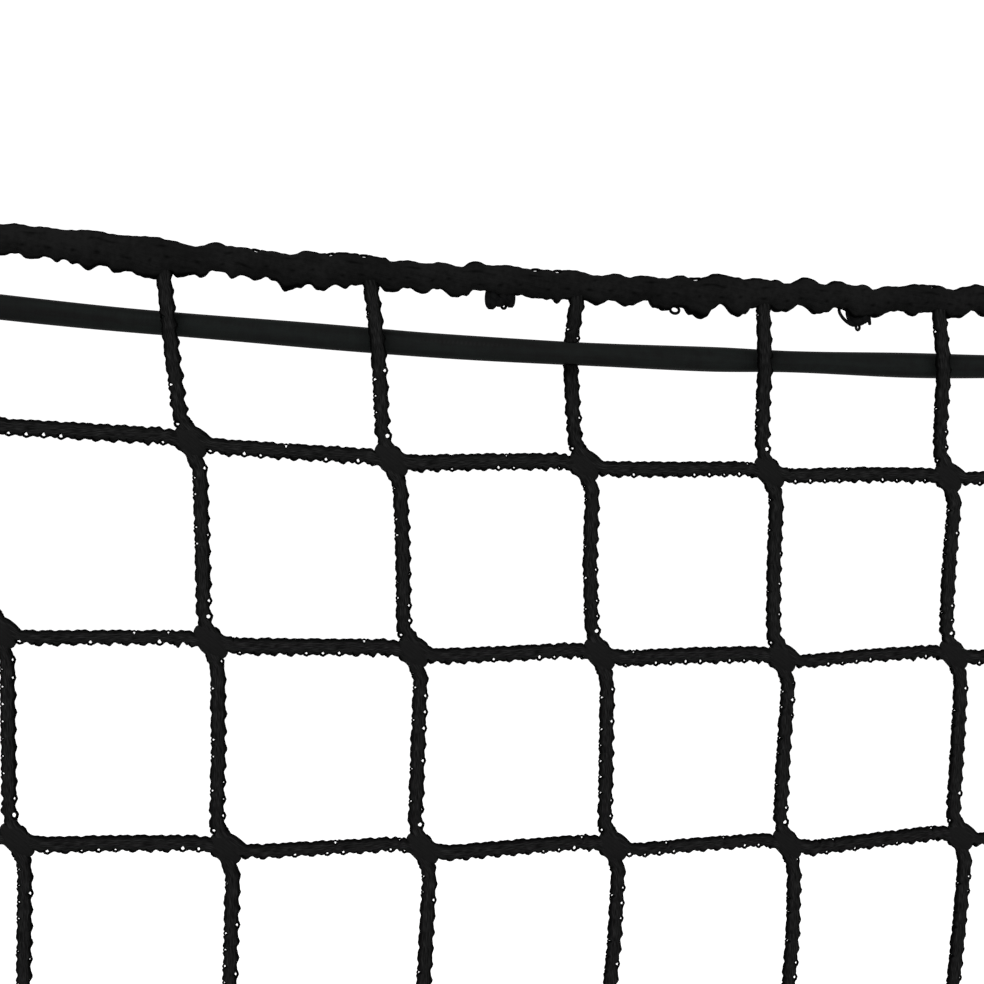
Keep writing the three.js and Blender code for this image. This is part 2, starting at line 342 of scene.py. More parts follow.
def build_twist_group():
    """Height of the plies and filaments of a twisted yarn. A ply is a stripe that winds round the
    tube: its phase is turns times plies plus metres divided by the pitch. The filaments are noise
    drawn out along the same slant."""
    group, given, out = new_group(
        "twisted_yarn",
        {"Along": None, "Plies": 3.0, "Pitch": 0.002, "Filaments": 14.0, "Flecks": 1.3},
        ["Height", "Tone"],
    )
    turns, metres = turns_and_metres(group, given)
    lengths = maths(group, "DIVIDE", metres, given.outputs["Pitch"])
    phase = maths(group, "ADD", maths(group, "MULTIPLY", turns, given.outputs["Plies"]), lengths)
    ply = maths(group, "ABSOLUTE", maths(group, "SINE", maths(group, "MULTIPLY", phase, math.pi)))
    slant = place_of(
        group,
        maths(group, "MULTIPLY", phase, given.outputs["Filaments"]),
        maths(group, "MULTIPLY", lengths, given.outputs["Flecks"]),
    )
    fibres = noise(group, slant, 1.0, 2.0)
    fine = maths(group, "MULTIPLY", fibres, 1 - PLY_SHARE)
    group.links.new(maths(group, "MULTIPLY_ADD", ply, PLY_SHARE, fine), out.inputs["Height"])
    group.links.new(fibres, out.inputs["Tone"])
    return group


TWIST = build_twist_group()
print("node group", TWIST.name)

# %% Dust and wear
DUSTY = (0.14, 0.42)  # the products of the two noises where it is clean, and where it is greyest


def build_dust_group():
    """Grey dust and handling wear: soft patches of noise in the object's own space, broken up by a
    finer noise, between 0 where the yarn is clean and 1 where it is greyest."""
    group, given, out = new_group("dust_and_wear", {"Patch": 60.0, "Grain": 900.0}, ["Mask"])
    place = group.nodes.new("ShaderNodeTexCoord").outputs["Object"]
    noises = [noise(group, place, given.outputs[size], 3.0) for size in ("Patch", "Grain")]
    both = maths(group, "MULTIPLY", *noises)
    group.links.new(ranged(group, both, *DUSTY), out.inputs["Mask"])
    return group


DUST = build_dust_group()
print("node group", DUST.name)

# %% [markdown]
# ## The finishes
#
# The twine is dull with a thin shine on its filaments, and its lighter flecks are painted highlights.
# The rope is the same fibre, fluffier and dustier, and the cut stubs under it are like it, darker than
# the twine as painted shade under the rope. The elastic cord is a tight smooth sheath, the only thing
# here with a sheen, and a hair lighter and greener than the rest. All of them are painted nearly black
# as shade where a thread dips in or a strand turns away from the light, and each of those places is a
# mask that takes the colour down.

# %% Helpers for finishes
def grey(level):
    """A colour without a tint."""
    return (level, level, level)


# the colour of all painted shade: the strand edges, the stitch pits and the swinging yarn
SHADE_BLACK = grey(0.0002)


def group_node(tree, group, **values):
    """Places a group in a material, with its own numbers. Where it follows the tube, it is given
    the tube's pattern coordinates."""
    node = tree.nodes.new("ShaderNodeGroup")
    node.node_tree = group
    for name, value in values.items():
        node.inputs[name].default_value = value
    if node.inputs.get("Along") is not None:
        place = tree.nodes.new("ShaderNodeUVMap")
        place.uv_map = GIRTH
        tree.links.new(place.outputs[0], node.inputs["Along"])
    return node


def mixed(tree, mask, first, second):
    """The colour between two colours, by a mask. A colour is three numbers or a node's output."""
    node = tree.nodes.new("ShaderNodeMix")
    node.data_type = "RGBA"
    tree.links.new(mask, node.inputs["Factor"])
    for label, colour in (("A", first), ("B", second)):
        feed(tree, node.inputs[label], (*colour, 1) if isinstance(colour, tuple) else colour)
    return node.outputs["Result"]


def new_finish(name, shine):
    """A material with the given specular level, and its node tree."""
    material = bpy.data.materials.new(name)
    material.use_nodes = True
    tree = material.node_tree
    tree.nodes["Principled BSDF"].inputs["Specular IOR Level"].default_value = shine
    return material, tree


def dress(tree, colour, roughness, height, bump):
    """Links the shader's colour and roughness, and a relief that is so many metres high."""
    shader = tree.nodes["Principled BSDF"]
    relief = tree.nodes.new("ShaderNodeBump")
    relief.inputs["Strength"].default_value = 1.0
    relief.inputs["Distance"].default_value = bump
    tree.links.new(height, relief.inputs["Height"])
    tree.links.new(colour, shader.inputs["Base Color"])
    tree.links.new(roughness, shader.inputs["Roughness"])
    tree.links.new(relief.outputs[0], shader.inputs["Normal"])


def take_to(material, colour, mask, amount=1.0):
    """Takes a finish to another colour where a mask times the amount is 1."""
    tree = material.node_tree
    base = tree.nodes["Principled BSDF"].inputs["Base Color"]
    share = maths(tree, "MULTIPLY", mask, amount)
    tree.links.new(mixed(tree, share, base.links[0].from_socket, colour), base)


print("the darkest places are", SHADE_BLACK[0], "of white")

# %% Stitch pits, painted dark as shade
MARK_NOISE = 130.0  # waves of the noise that moves the marks, to the metre
MARK_MOVED = (0.9, 0.1)  # how far it moves them: in pitches along the rope, in turns round it
MARK_LENGTH = (0.2, 0.02)  # in pitches from its middle, where it fades out and where it is full
MARK_WIDTH = (0.024, 0.0)  # the same in turns round the rope
# how far the painted shade in the pits takes the colour toward black
PIT_SHADE_DARK = 0.7
# Each row of marks: where it lies, in turns round the rope, and its pitch in metres
MARK_ROWS = ((0.4, 0.0052), (0.53, 0.0137), (0.91, 0.0057))


def build_pit_shade_group():
    """Painted shade in the pits where an overlock thread dips into the rope: short dark dashes in a row
    along it. The dashes come where the fraction of metres divided by the pitch, moved by a slow noise,
    is near one half, and the turn round the rope is near that of the row."""
    inputs = {"Along": None, "Row": 0.45, "Pitch": 0.0045}
    group, given, out = new_group("stitch_pit_shade", inputs, ["Mask"])
    turns, metres = turns_and_metres(group, given)
    row = given.outputs["Row"]
    slow = noise(group, maths(group, "ADD", metres, row), MARK_NOISE, 1.0, "1D")
    lengths = maths(group, "DIVIDE", metres, given.outputs["Pitch"])
    phase = maths(group, "MULTIPLY_ADD", slow, MARK_MOVED[0], lengths)
    along = apart(group, maths(group, "FRACT", phase), 0.5)
    away = apart(group, turns, maths(group, "MULTIPLY_ADD", slow, MARK_MOVED[1], row))
    masks = [ranged(group, along, *MARK_LENGTH), ranged(group, away, *MARK_WIDTH)]
    group.links.new(maths(group, "MULTIPLY", *masks), out.inputs["Mask"])
    return group


PIT_SHADE = build_pit_shade_group()


def add_painted_pit_shade(material):
    """Three rows of stitch pits, painted dark as shade: two on the front of the rope and one at the
    back.
    """
    tree = material.node_tree
    nodes = [group_node(tree, PIT_SHADE, Row=row, Pitch=pitch) for row, pitch in MARK_ROWS]
    first, second, third = (node.outputs["Mask"] for node in nodes)
    total = maths(tree, "ADD", maths(tree, "ADD", first, second), third)
    take_to(material, SHADE_BLACK, total, PIT_SHADE_DARK)


print("node group", PIT_SHADE.name, "for", len(MARK_ROWS), "rows")

# %% Painted shade at the edges, and wear
EDGE_COSINES = (0.85, 0.96)  # where the painted shade begins, and where it is full


def build_edge_shade_group():
    """Painted shade on the two edges of a cord or rope, where no fibre catches the light: the mask is 1
    where the cosine of the turns from Start, times a full circle, is close to one or to minus one."""
    group, given, out = new_group("painted_edge_shade", {"Along": None, "Start": 0.0}, ["Mask"])
    turns, _ = turns_and_metres(group, given)
    angle = maths(group, "SUBTRACT", turns, given.outputs["Start"])
    wave = maths(group, "COSINE", maths(group, "MULTIPLY", angle, 2 * math.pi))
    size = maths(group, "ABSOLUTE", wave)
    group.links.new(ranged(group, size, *EDGE_COSINES, kind="SMOOTHSTEP"), out.inputs["Mask"])
    return group


EDGE_SHADE = build_edge_shade_group()


def paint_edge_shade(material, start):
    """Paints shade on the two edges of a strand, at start and half a turn from it, so that they go
    nearly black.
    """
    edges = group_node(material.node_tree, EDGE_SHADE, Start=start)
    take_to(material, SHADE_BLACK, edges.outputs["Mask"])


def add_painted_shade_and_wear(material, even):
    """Where the points of a piece say so, the finish goes black as painted shade, or to one even colour
    where it is worn.
    """
    points = material.node_tree.nodes.new("ShaderNodeAttribute")
    points.attribute_name = PAINTED_SHADE_AND_WEAR
    take_to(material, even, points.outputs["Fac"], -1.0)
    take_to(material, SHADE_BLACK, points.outputs["Fac"])


print("node group", EDGE_SHADE.name)


# %% Fibre finishes
def fibre_finish(
    name, deep, light, rough, bump, plies, pitch, shine, dust, stripes=1.0, flecks=1.3, tones=(0, 1)
):
    """A yarn material: colour between deep and light by filament tone and dust, roughness between the
    two given values, and a bump of that many metres from the twist. The light filament flecks are
    painted highlights. stripes is how much the plies show in the colour, as painted shade in their
    grooves, flecks how short the filaments are, and tones the two filament tones that are wholly deep
    and wholly light."""
    material, tree = new_finish(name, shine)
    twist = group_node(tree, TWIST, Plies=plies, Pitch=pitch, Flecks=flecks)
    height, fibre = twist.outputs["Height"], twist.outputs["Tone"]
    # painted shade in the ply grooves, and painted highlights where the filament tone is light
    ply_shaded = maths(tree, "MULTIPLY_ADD", height, stripes, 1 - stripes)
    glints_and_ply_shade = maths(tree, "MULTIPLY", ranged(tree, fibre, *tones), ply_shaded)
    worn = group_node(tree, DUST)
    mask = maths(tree, "MULTIPLY_ADD", worn.outputs["Mask"], dust, glints_and_ply_shade)
    roughness = ranged(tree, fibre, low=rough[0], high=rough[1])
    dress(tree, mixed(tree, mask, deep, light), roughness, height, bump)
    return material


twine_finish = fibre_finish(
    "black_twine",
    deep=grey(0.0016),
    light=grey(0.0127),
    rough=(0.62, 0.9),
    bump=0.00012,
    plies=5,
    pitch=0.03,
    shine=0.01,
    dust=0.1,
    stripes=0.2,
    flecks=12.0,
    tones=(0.42, 0.76),
)
# painted shade on the twine's edges and on its swinging yarn, and an even worn colour at the joins
add_painted_shade_and_wear(twine_finish, grey(0.0043))
# the stubs are the twine's yarn, painted darker than the twine for the shade under the rope
stub_finish_with_painted_shade = fibre_finish(
    "black_stub_yarn_with_painted_shade",
    deep=(0.0012, 0.0012, 0.0013),
    light=(0.0050, 0.0051, 0.0052),
    rough=(0.75, 0.95),
    bump=0.00009,
    plies=2,
    pitch=0.0016,
    shine=0.01,
    dust=0.2,
)
rope_finish = fibre_finish(
    "black_rope_yarn",
    deep=grey(0.0012),
    light=grey(0.0048),
    rough=(0.7, 0.95),
    bump=0.00008,
    plies=11,
    pitch=0.011,
    shine=0.006,
    dust=0.7,
    stripes=0.25,
)
# painted shade in the stitch pits along the rope
add_painted_pit_shade(rope_finish)
# painted shade along the rope's top and bottom edges
paint_edge_shade(rope_finish, 0.25)
print("finishes", [finish.name for finish in (twine_finish, stub_finish_with_painted_shade, rope_finish)])

# %% The cord's sheath
STREAKS = (9.0, 45.0)  # waves of their noise, to the turn and to the metre
SHEATH_COLOURS = (grey(0.0043), (0.0054, 0.0063, 0.0060))  # off the streaks, and on them
SHEATH_CONTRAST = (-1.0, 1.5)  # what the dimmest and the brightest streak come to
SHEATH_ROUGH = (0.24, 0.38)
SHEATH_BUMP = 0.00003
SHEATH_DUST = 0.3
SHEATH_SHINE = 0.006


def build_sheath_group():
    """The surface of a tightly braided sheath. Two sets of stripes wind round the tube in opposite
    directions, with the phases turns times carriers plus and minus metres divided by the pitch, and
    the product of their sines is a fine diamond pattern. Long faint streaks run with the cord."""
    inputs = {"Along": None, "Carriers": 16.0, "Pitch": 0.001}
    group, given, out = new_group("braided_sheath", inputs, ["Height", "Streak"])
    turns, metres = turns_and_metres(group, given)
    lengths = maths(group, "DIVIDE", metres, given.outputs["Pitch"])
    windings = maths(group, "MULTIPLY", turns, given.outputs["Carriers"])
    stripes = []
    for operation in ("ADD", "SUBTRACT"):
        phase = maths(group, operation, windings, lengths)
        stripes.append(maths(group, "SINE", maths(group, "MULTIPLY", phase, math.pi)))
    diamond = maths(group, "MULTIPLY", *stripes)
    group.links.new(maths(group, "MULTIPLY_ADD", diamond, 0.5, 0.5), out.inputs["Height"])
    drawn_out = [maths(group, "MULTIPLY", *pair) for pair in zip((turns, metres), STREAKS)]
    streaks = noise(group, place_of(group, *drawn_out), 1.0, 3.0)
    group.links.new(streaks, out.inputs["Streak"])
    return group


def sheath_material():
    """A satin black sheath, a little lighter, greener and rougher on the streaks."""
    material, tree = new_finish("elastic_sheath", SHEATH_SHINE)
    sheath = group_node(tree, build_sheath_group())
    streak = sheath.outputs["Streak"]
    worn = group_node(tree, DUST, Patch=40.0, Grain=500.0)
    mask = maths(tree, "MULTIPLY_ADD", worn.outputs["Mask"], SHEATH_DUST, streak)
    patches = ranged(tree, mask, low=SHEATH_CONTRAST[0], high=SHEATH_CONTRAST[1])
    roughness = ranged(tree, streak, low=SHEATH_ROUGH[0], high=SHEATH_ROUGH[1])
    colour = mixed(tree, patches, *SHEATH_COLOURS)
    dress(tree, colour, roughness, sheath.outputs["Height"], SHEATH_BUMP)
    return material


sheath_finish = sheath_material()
# painted shade along the cord's upper and lower edges
paint_edge_shade(sheath_finish, 0.0)
print("finish", sheath_finish.name)

# %% [markdown]
# ## The elastic cord
#
# The cord is threaded through the top row of meshes, behind some strands and in front of others,
# and a stopper knot outside each edge strand keeps it there. It is stretched lightly, so it follows
# the rope's sag and only swings from one side of the strands to the other. Its length from knot to
# knot is the width of the net plus 5 mm at each end.

# %% The line of the cord
CORD_THICK = 5.5 * MM
CORD_DROP = 15.4 * MM  # its middle below the rope's, at the middle of the net
CORD_LOWER = 0.08 * MM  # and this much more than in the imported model
CORD_SAG = 1.6 * MM  # how much more than the rope it sags
CORD_DIP = 0.2 * MM  # how far it dips between some strands
DIP_PITCH = 117 * MM
DIP_START = 53 * MM
CORD_SWING = 2.7 * MM  # from the plane of the net to either side
CORD_CROSSING = (0.12, 0.88)  # the parts of a mesh between which it changes sides
CORD_END = HALF_WIDTH + 5 * MM
CORD_RINGS = 300
CORD_SIDE_OF_COLUMN = np.array([1, -1, 1, 1, -1, 1, 1, -1, 1, 1, -1])  # 1 behind the strand


def between(ends, share):
    """The value at a share of the way between two ends."""
    return ends[0] + (ends[1] - ends[0]) * share


def ramp(value, start, end):
    """0 up to the start, 1 past the end, and a straight line between them."""
    return np.clip((value - start) / (end - start), 0, 1)


def eased(t):
    """A step from 0 to 1 as 3 t t - 2 t t t, level at both ends."""
    return t * t * (3 - 2 * t)


def cord_line(x):
    """The cord's middle at x. It sags a little more than the rope, and dips between some strands as
    a cosine of x. Between two columns its Y goes from one side to the other by an eased step."""
    place = np.clip((x + HALF_WIDTH) / MESH, 0, CELLS_WIDE)
    left = np.minimum(np.floor(place), CELLS_WIDE - 1).astype(int)
    sides = (CORD_SIDE_OF_COLUMN[left], CORD_SIDE_OF_COLUMN[left + 1])
    swing = CORD_SWING * between(sides, eased(ramp(place - left, *CORD_CROSSING)))
    dip = CORD_DIP * np.cos(2 * np.pi * (x + DIP_START) / DIP_PITCH) + CORD_LOWER
    rise = CORD_SAG * (x / HALF_WIDTH) ** 2 - dip
    return np.stack([x, swing, rope_height(x) - CORD_DROP + rise], axis=-1)


cord_points = cord_line(np.linspace(-CORD_END, CORD_END, CORD_RINGS))

# %% The elastic cord
CORD_SIDES = 20
# Where its thickness was measured, and by how much it is more or less than the usual, in millimetres
CORD_SWELLS = [
    (-225, 0.0), (-171, 0.0), (-135, -0.15), (-98, 0.3), (-75, 0.15), (-42, -0.15), (-10, 0.4),
    (10, -0.35), (42, 0.6), (70, 0.0), (110, 0.25), (150, -0.15), (190, 0.2), (225, 0.0),
]  # fmt: skip


def along_stations(x, stations, step):
    """The value at x: from each station's value to the next one's by the given step function."""
    places, values = stations
    left = np.clip(np.searchsorted(places, x) - 1, 0, len(places) - 2)
    share = step(ramp(x, places[left], places[left + 1]))
    return between((values[left], values[left + 1]), share)


swells = along_stations(cord_points[:, 0], np.array(CORD_SWELLS).T * MM, eased)
elastic_cord = make_piece(
    "elastic_cord_sheath",
    tube(cord_points, (CORD_THICK + swells) / 2, CORD_SIDES, VIEWER),
    sheath_finish,
    ["elastic_cord"],
)

# %% [markdown]
# ## The stopper knots
#
# An overhand knot is a loop with its end passed through. Its route is a short list of turns in units of
# 1.2 cord diameters, with a smooth curve through them.

# %% Stopper knots
SEAT_GAP = 0.3 * MM  # from the end of the cord to its knot
KNOT_UNIT = 1.2 * CORD_THICK
KNOT_STEPS = 8  # from turn to turn
# Each turn of the knot: away from the net, up, and back from the viewer
KNOT_TURNS = np.array(
    [
        (0, 0, 0), (0.5, 0.05, 0.05), (1.65, 0.1, 0.42), (2.8, 0.02, 0.05), (3.8, -0.12, -0.42),
        (4.65, -0.95, -0.15), (4.05, -1.95, 0.35), (3, -2.3, 0.52), (1.85, -1.75, 0.2),
        (1.5, -0.75, -0.45), (1.85, 0.25, -0.72), (2.65, 1.1, -0.35), (3.65, 0.95, 0.35),
        (3.95, -0.05, 0.72), (3.3, -1.1, 0.25), (2.95, -2.1, -0.5), (2.9, -3.1, -0.6),
        (2.9, -4, -0.5),
    ]
)  # fmt: skip


def curve_through(points, per_span):
    """A Catmull-Rom curve: between two points it is a cubic whose slope at each point is half the
    step between that point's two neighbours."""
    ends = np.concatenate([[2 * points[0] - points[1]], points, [2 * points[-1] - points[-2]]])
    t = (np.arange(per_span) / per_span)[None, :, None]
    a, b, c, d = (ends[i : len(ends) - 3 + i, None] for i in range(4))
    curve = 0.5 * (2 * b + (c - a) * t + (2 * a - 5 * b + 4 * c - d) * t**2)
    curve = curve + 0.5 * (3 * b - 3 * c + d - a) * t**3
    return np.concatenate([curve.reshape(-1, 3), points[-1:]])


def rolled_frames(line):
    """A direction square to the line at each point, carried along without twist: each is the one
    before it, less its share along the new tangent."""
    along = unit(np.gradient(line, axis=0))
    facing = [VIEWER - VIEWER.dot(along[0]) * along[0]]
    for tangent in along[1:]:
        facing.append(facing[-1] - facing[-1].dot(tangent) * tangent)
    return unit(np.array(facing))


def stopper_knot(side):
    """The knot past one edge, the left for side -1 and the right for 1."""
    start = cord_line(np.array([side * (CORD_END + SEAT_GAP)]))[0]
    turns = KNOT_TURNS[:, [0, 2, 1]] * [side, 1, 1] * KNOT_UNIT + start
    line = curve_through(turns, KNOT_STEPS)
    return tube(line, CORD_THICK / 2, CORD_SIDES, rolled_frames(line))


for where, side in (("left", -1), ("right", 1)):
    name, replaced = f"cord_end_knot_{where}", f"cord_knot_{where}"
    make_piece(name, stopper_knot(side), sheath_finish, [replaced])

# %% [markdown]
# ## The routes of the twine
#
# A knotless net is not made of lengthwise and crosswise strands. Each braid goes down one mesh,
# meets its neighbour, lies beside it through the join, and leaves to the right, and so on in steps
# across the whole net. That is why a join is a short slanting bar, with a soft corner above and
# below it and a sharp crotch on each side. The routes here take the same steps.

# %% Where the joins stand
ROW_NUMBER, COLUMN_NUMBER = np.mgrid[0 : LAST_ROW + 1, 0 : CELLS_WIDE + 1]


def by_join(plain, seen):
    """A value for every join, in millimetres: the plain one, and those measured in the rows and
    columns that are seen."""
    values = np.broadcast_to(np.asarray(plain, float), ROW_NUMBER.shape).copy()
    seen = np.array(seen)
    values[: len(seen), 1 : 1 + len(seen[0])] = seen
    return values * MM


def waves(along_rows, along_columns):
    """Half a millimetre this way or that, as a sine wave over the rows and columns."""
    return 0.5 * np.sin(along_rows * ROW_NUMBER + along_columns * COLUMN_NUMBER)


# How far each join stands to the right of, and below, its place in the even net
JOIN_RIGHT = by_join(
    waves(5.1, 2.3),
    [
        (-0.2, -0.25, -0.35, -0.55, -0.2, 0.2),
        (-0.9, -0.25, 0.15, -0.55, -0.6, -1.1),
        (-0.25, 0.0, 0.0, 0.4, -0.4, -0.65),
        (0.3, 0.4, -0.4, -0.3, 0.6, -1.15),
    ],
)
JOIN_BELOW = by_join(
    waves(3.7, 4.9),
    [
        (-1.6, -0.75, 0.7, -0.05, 0.5, 1.25),
        (-0.45, -0.75, -0.1, -0.3, 0.55, 0.4),
        (0.0, 0.15, -0.1, -0.1, 0.65, 0.3),
    ],
)
# Half the step between the strands to its left and right, and between those above and below it
STEP_DOWN = by_join(
    0.95,
    [
        (0.85, 0.75, 0.55, 0.75, 0.8, 0.5),
        (1.05, 0.75, 0.95, 1.0, 1.0, 0.95),
        (0.95, 0.9, 1.15, 1.2, 1.25, 1.2),
    ],
)
STEP_ASIDE = by_join(
    2.0,
    [
        (1.95, 2.3, 2.2, 2.3, 2.0, 2.15),
        (1.85, 1.6, 2.1, 2.05, 2.2, 2.3),
        (1.7, 1.85, 1.8, 1.85, 2.1, 1.9),
    ],
)
# How far the strand that leaves it to the right bows down, and the one below it to the right
BOW_DOWN = by_join(
    waves(2.1, 3.3) / 2,
    [
        (-0.05, 0.05, -0.15, 0.1, -0.3),
        (-0.1, 0.1, 0.1, -0.2, -0.3),
        (-0.25, 0.0, -0.1, -0.25, 0.0),
    ],
)
BOW_RIGHT = by_join(
    waves(4.4, 1.7) / 2,
    [
        (0.0, 0.05, 0.2, -0.5, -0.2, -0.35),
        (-0.05, 0.25, -0.05, 0.0, -0.2, 0.05),
        (0.0, 0.0, 0.05, 0.35, 0.45, 0.1),
    ],
)
# How much wider than usual, on each side, is the strand that leaves it to the right
WIDER = by_join(
    waves(1.3, 2.9) / 8,
    [
        (-0.04, 0.08, 0.02, 0.1, -0.1),
        (-0.09, 0.04, 0.1, 0.06, -0.12),
        (-0.03, -0.02, -0.05, -0.04, 0.0),
    ],
)


def join_at(row, column):
    """A join's x and drop: its place in the even net, how far its row has crept sideways, and how
    far it stands off by itself."""
    even = np.array([MESH * column - HALF_WIDTH + ROW_CREEP[row], ROW_DROP[row]])
    return even + [JOIN_RIGHT[row, column], JOIN_BELOW[row, column]]

print("the first join of each row", [join_at(row, 0).round(4).tolist() for row in range(LAST_ROW + 1)])

# %% Twine routes
JOIN_LANE = 1.5 * MM  # in a join, each braid runs this far beside the middle line
JOIN_CORNER = 1.6 * MM  # a braid begins to turn this far before a corner, and ends this far past it
LANE_SHIFT = JOIN_LANE * math.sqrt(2)
TURN = JOIN_CORNER / math.sqrt(2)
STRAND_GIVE = 1.8 * MM  # the cord pushes a strand this far aside
GIVE_REACH = 8 * MM
ROPE_FRONT = 1.2 * MM  # a strand is knitted into the front of the rope, this far before its middle
ROPE_INSIDE = 1.5 * MM  # and starts this far below its middle
# How far right of its even place each strand leaves the rope, and how far right its middle bows
COLUMN_LEAN = np.array([0, -0.6, -1.85, -1.5, 1.3, 0.95, 0.1, -0.4, 0.7, -0.5, 0.2]) * MM
COLUMN_BOW = np.array([0.2, -0.2, -0.15, 0.5, -0.8, 0.1, 0.45, 0.2, -0.3, 0.4, -0.2]) * MM
ROUTE_STEP = 0.25 * MM
ROUTE_SOFT = 1.3 * MM  # the width of the bell curve that rounds the corners


def upper_lane(row, column):
    """How far right of a join, and below it, lie the stations of the braid that comes from above
    and leaves to the right. The other braid takes the same steps on the other side."""
    aside, down = STEP_ASIDE[row, column], STEP_DOWN[row, column]
    return np.array(
        [
            (-aside, -aside - LANE_SHIFT - JOIN_CORNER),
            (-aside + TURN, -aside - LANE_SHIFT + TURN),
            (down + LANE_SHIFT - TURN, down - TURN),
            (down + LANE_SHIFT + JOIN_CORNER, down),
        ]
    )


def through(row, column, upper):
    """Stations of the upper or the lower braid through one join, as points of the hanging sheet."""
    offsets = upper_lane(row, column)
    x, drop = (join_at(row, column) + (offsets if upper else -offsets[::-1])).T
    return hang(x, drop)


def bowed(before, after, right, down):
    """The middle of a strand between two joins, moved by its bow."""
    return [(before[-1:] + after[:1]) / 2 + np.array([right, 0, -down])]


def top_stretch(column):
    """Stations from inside the rope down past the elastic cord, which pushes the strand aside."""
    first = join_at(0, column) + upper_lane(0, column)[0]
    around = CORD_DROP + GIVE_REACH * np.array([-1, -1 / 3, 1 / 3, 1])
    drop = np.concatenate([[ROPE_INSIDE], around, [(CORD_DROP + GIVE_REACH + first[1]) / 2]])
    give = STRAND_GIVE * np.array([0, 0.35, 1, 1, 0.35, 0])
    top = MESH * column - HALF_WIDTH + COLUMN_LEAN[column]
    share = (drop - drop[0]) / (first[1] - drop[0])
    bow = COLUMN_BOW[column] * np.sin(np.pi * share)
    stations = hang(top + (first[0] - top) * share + bow, drop)
    stations[:, 1] -= CORD_SIDE_OF_COLUMN[column] * give
    stations[:2, 1] -= np.array([1, 0.5]) * ROPE_FRONT
    return stations


def braid(stations, row, column):
    """Follows one braid by turns right and down until it meets an edge of the panel."""
    while True:
        upper = through(row, column, True)
        stations += [upper]
        column += 1
        if column > CELLS_WIDE:
            break
        lower = through(row, column, False)
        stations += bowed(upper, lower, 0, BOW_DOWN[row, column - 1]) + [lower]
        row += 1
        if row > LAST_ROW:
            break
        stations += bowed(lower, through(row, column, True), BOW_RIGHT[row - 1, column], 0)
    return np.concatenate(stations)


def evened(stations, step, soften):
    """The same route as evenly spaced points, its corners rounded by a running average whose
    weights are a bell curve of width soften. The ends are held by turning the route back on itself
    through its end points before averaging."""
    far = distance_along(stations)
    count = int(far[-1] / step)
    at = np.linspace(0, far[-1], count + 1)
    points = np.stack([np.interp(at, far, stations[:, axis]) for axis in range(3)], axis=-1)
    reach = int(3 * soften / step)
    before = 2 * points[0] - points[reach:0:-1]
    after = 2 * points[-1] - points[-2 : -reach - 2 : -1]
    padded = np.concatenate([before, points, after])
    bell = np.exp(-0.5 * (np.arange(-reach, reach + 1) * step / soften) ** 2)
    bell /= bell.sum()
    return np.stack([np.convolve(padded[:, axis], bell, "valid") for axis in range(3)], axis=-1)


routes = [braid([top_stretch(column)], 0, column) for column in range(CELLS_WIDE + 1)]
routes += [braid([through(row, 0, False)[1:]], row + 1, 0) for row in range(LAST_ROW)]
routes = [evened(stations, ROUTE_STEP, ROUTE_SOFT) for stations in routes]
twine_length = sum(distance_along(route)[-1] for route in routes)
print(len(routes), "braids,", round(twine_length, 2), "m of twine")

# %% [markdown]
# ## The knit of the twine
#
# A warp-knitted twine is a few chains of stitches side by side, with a yarn that swings from edge to
# edge across them. Modelling true interlocked loops would take hundreds of faces a stitch. Here the
# chains are one surface: a ring whose half width has one bump a stitch on each edge, half a stitch
# apart. The swinging yarn turns round in those bumps. At some of them the chains are notched, and
# the yarn that spans the notch leaves a pinhole of light.
#
# Twelve stitches can be counted in every side of a mesh, and the two directions don't look alike.
# The lower edge of a level strand and the right edge of a hanging one are the bumpy ones, and the
# pinholes are widest where a strand comes down to its next join. The last loop above a join stands
# open, on the right above one join and on the left above the next.

# %% Counting the stitches
STITCHES = 12  # in every side of a mesh
STITCH = MESH / STITCHES
LOST_IN_TURN = 0.5  # stitches fewer for each join that a braid turns through
HALF_JOIN = 0.06  # the part of a mesh side that lies in the join
JOIN_WORN = -0.8  # the value of a join in the painted shade and wear attribute: worn, with the flecks all but lost
START_STITCH = 0.1  # the number at a braid's first join
chance = np.random.default_rng(1145)
JOIN_CENTRES = np.array(
    [[hang(*join_at(row, column)) for column in range(CELLS_WIDE + 1)] for row in range(LAST_ROW + 1)]
)


def wander(at, lengths, phases):
    """A slow irregular wave between -1 and 1: the mean of sines of several wavelengths."""
    return np.mean([np.sin(2 * np.pi * at / n + p) for n, p in zip(lengths, phases)], axis=0)


def met_by(row, column, first):
    """The joins that a braid meets, as arrays: row, column, middle stitch number, and whether it
    comes down to that join. It takes its first turn right at the given join, and step k of it meets
    join (row + k / 2, column + (k + 1) / 2), both rounded down. From one to the next the number
    rises by 12, less a half for the turn."""
    step = np.arange(first, min(2 * (LAST_ROW - row) + 2, 2 * (CELLS_WIDE - column) + 1))
    middle = START_STITCH - 0.5 * ((row + column) % 2) + (STITCHES - LOST_IN_TURN) * step
    return row + step // 2, column + (step + 1) // 2, middle, step % 2 == 0


def stitch_numbers(route, far, joins):
    """The stitch number at each point of a braid. Joins are met at the point of the route that is
    nearest to their centre, and what lies in a join has half a stitch less."""
    rows, columns, middle, down = joins
    met = far[np.linalg.norm(route[:, None] - JOIN_CENTRES[rows, columns], axis=2).argmin(0)]
    inside = HALF_JOIN * np.array([-1, 1])
    at = (met[:, None] + MESH * inside).ravel()
    half = (STITCHES * HALF_JOIN - LOST_IN_TURN / 2) * np.sign(inside)
    number = (middle[:, None] + LOST_IN_TURN / 2 + half).ravel()
    kept = (at > 0) & (at < far[-1])
    at, number = at[kept], number[kept]
    ends = number[0] - at[0] / STITCH, number[-1] + (far[-1] - at[-1]) / STITCH
    return np.interp(far, [0, *at, far[-1]], [ends[0], *number, ends[1]])


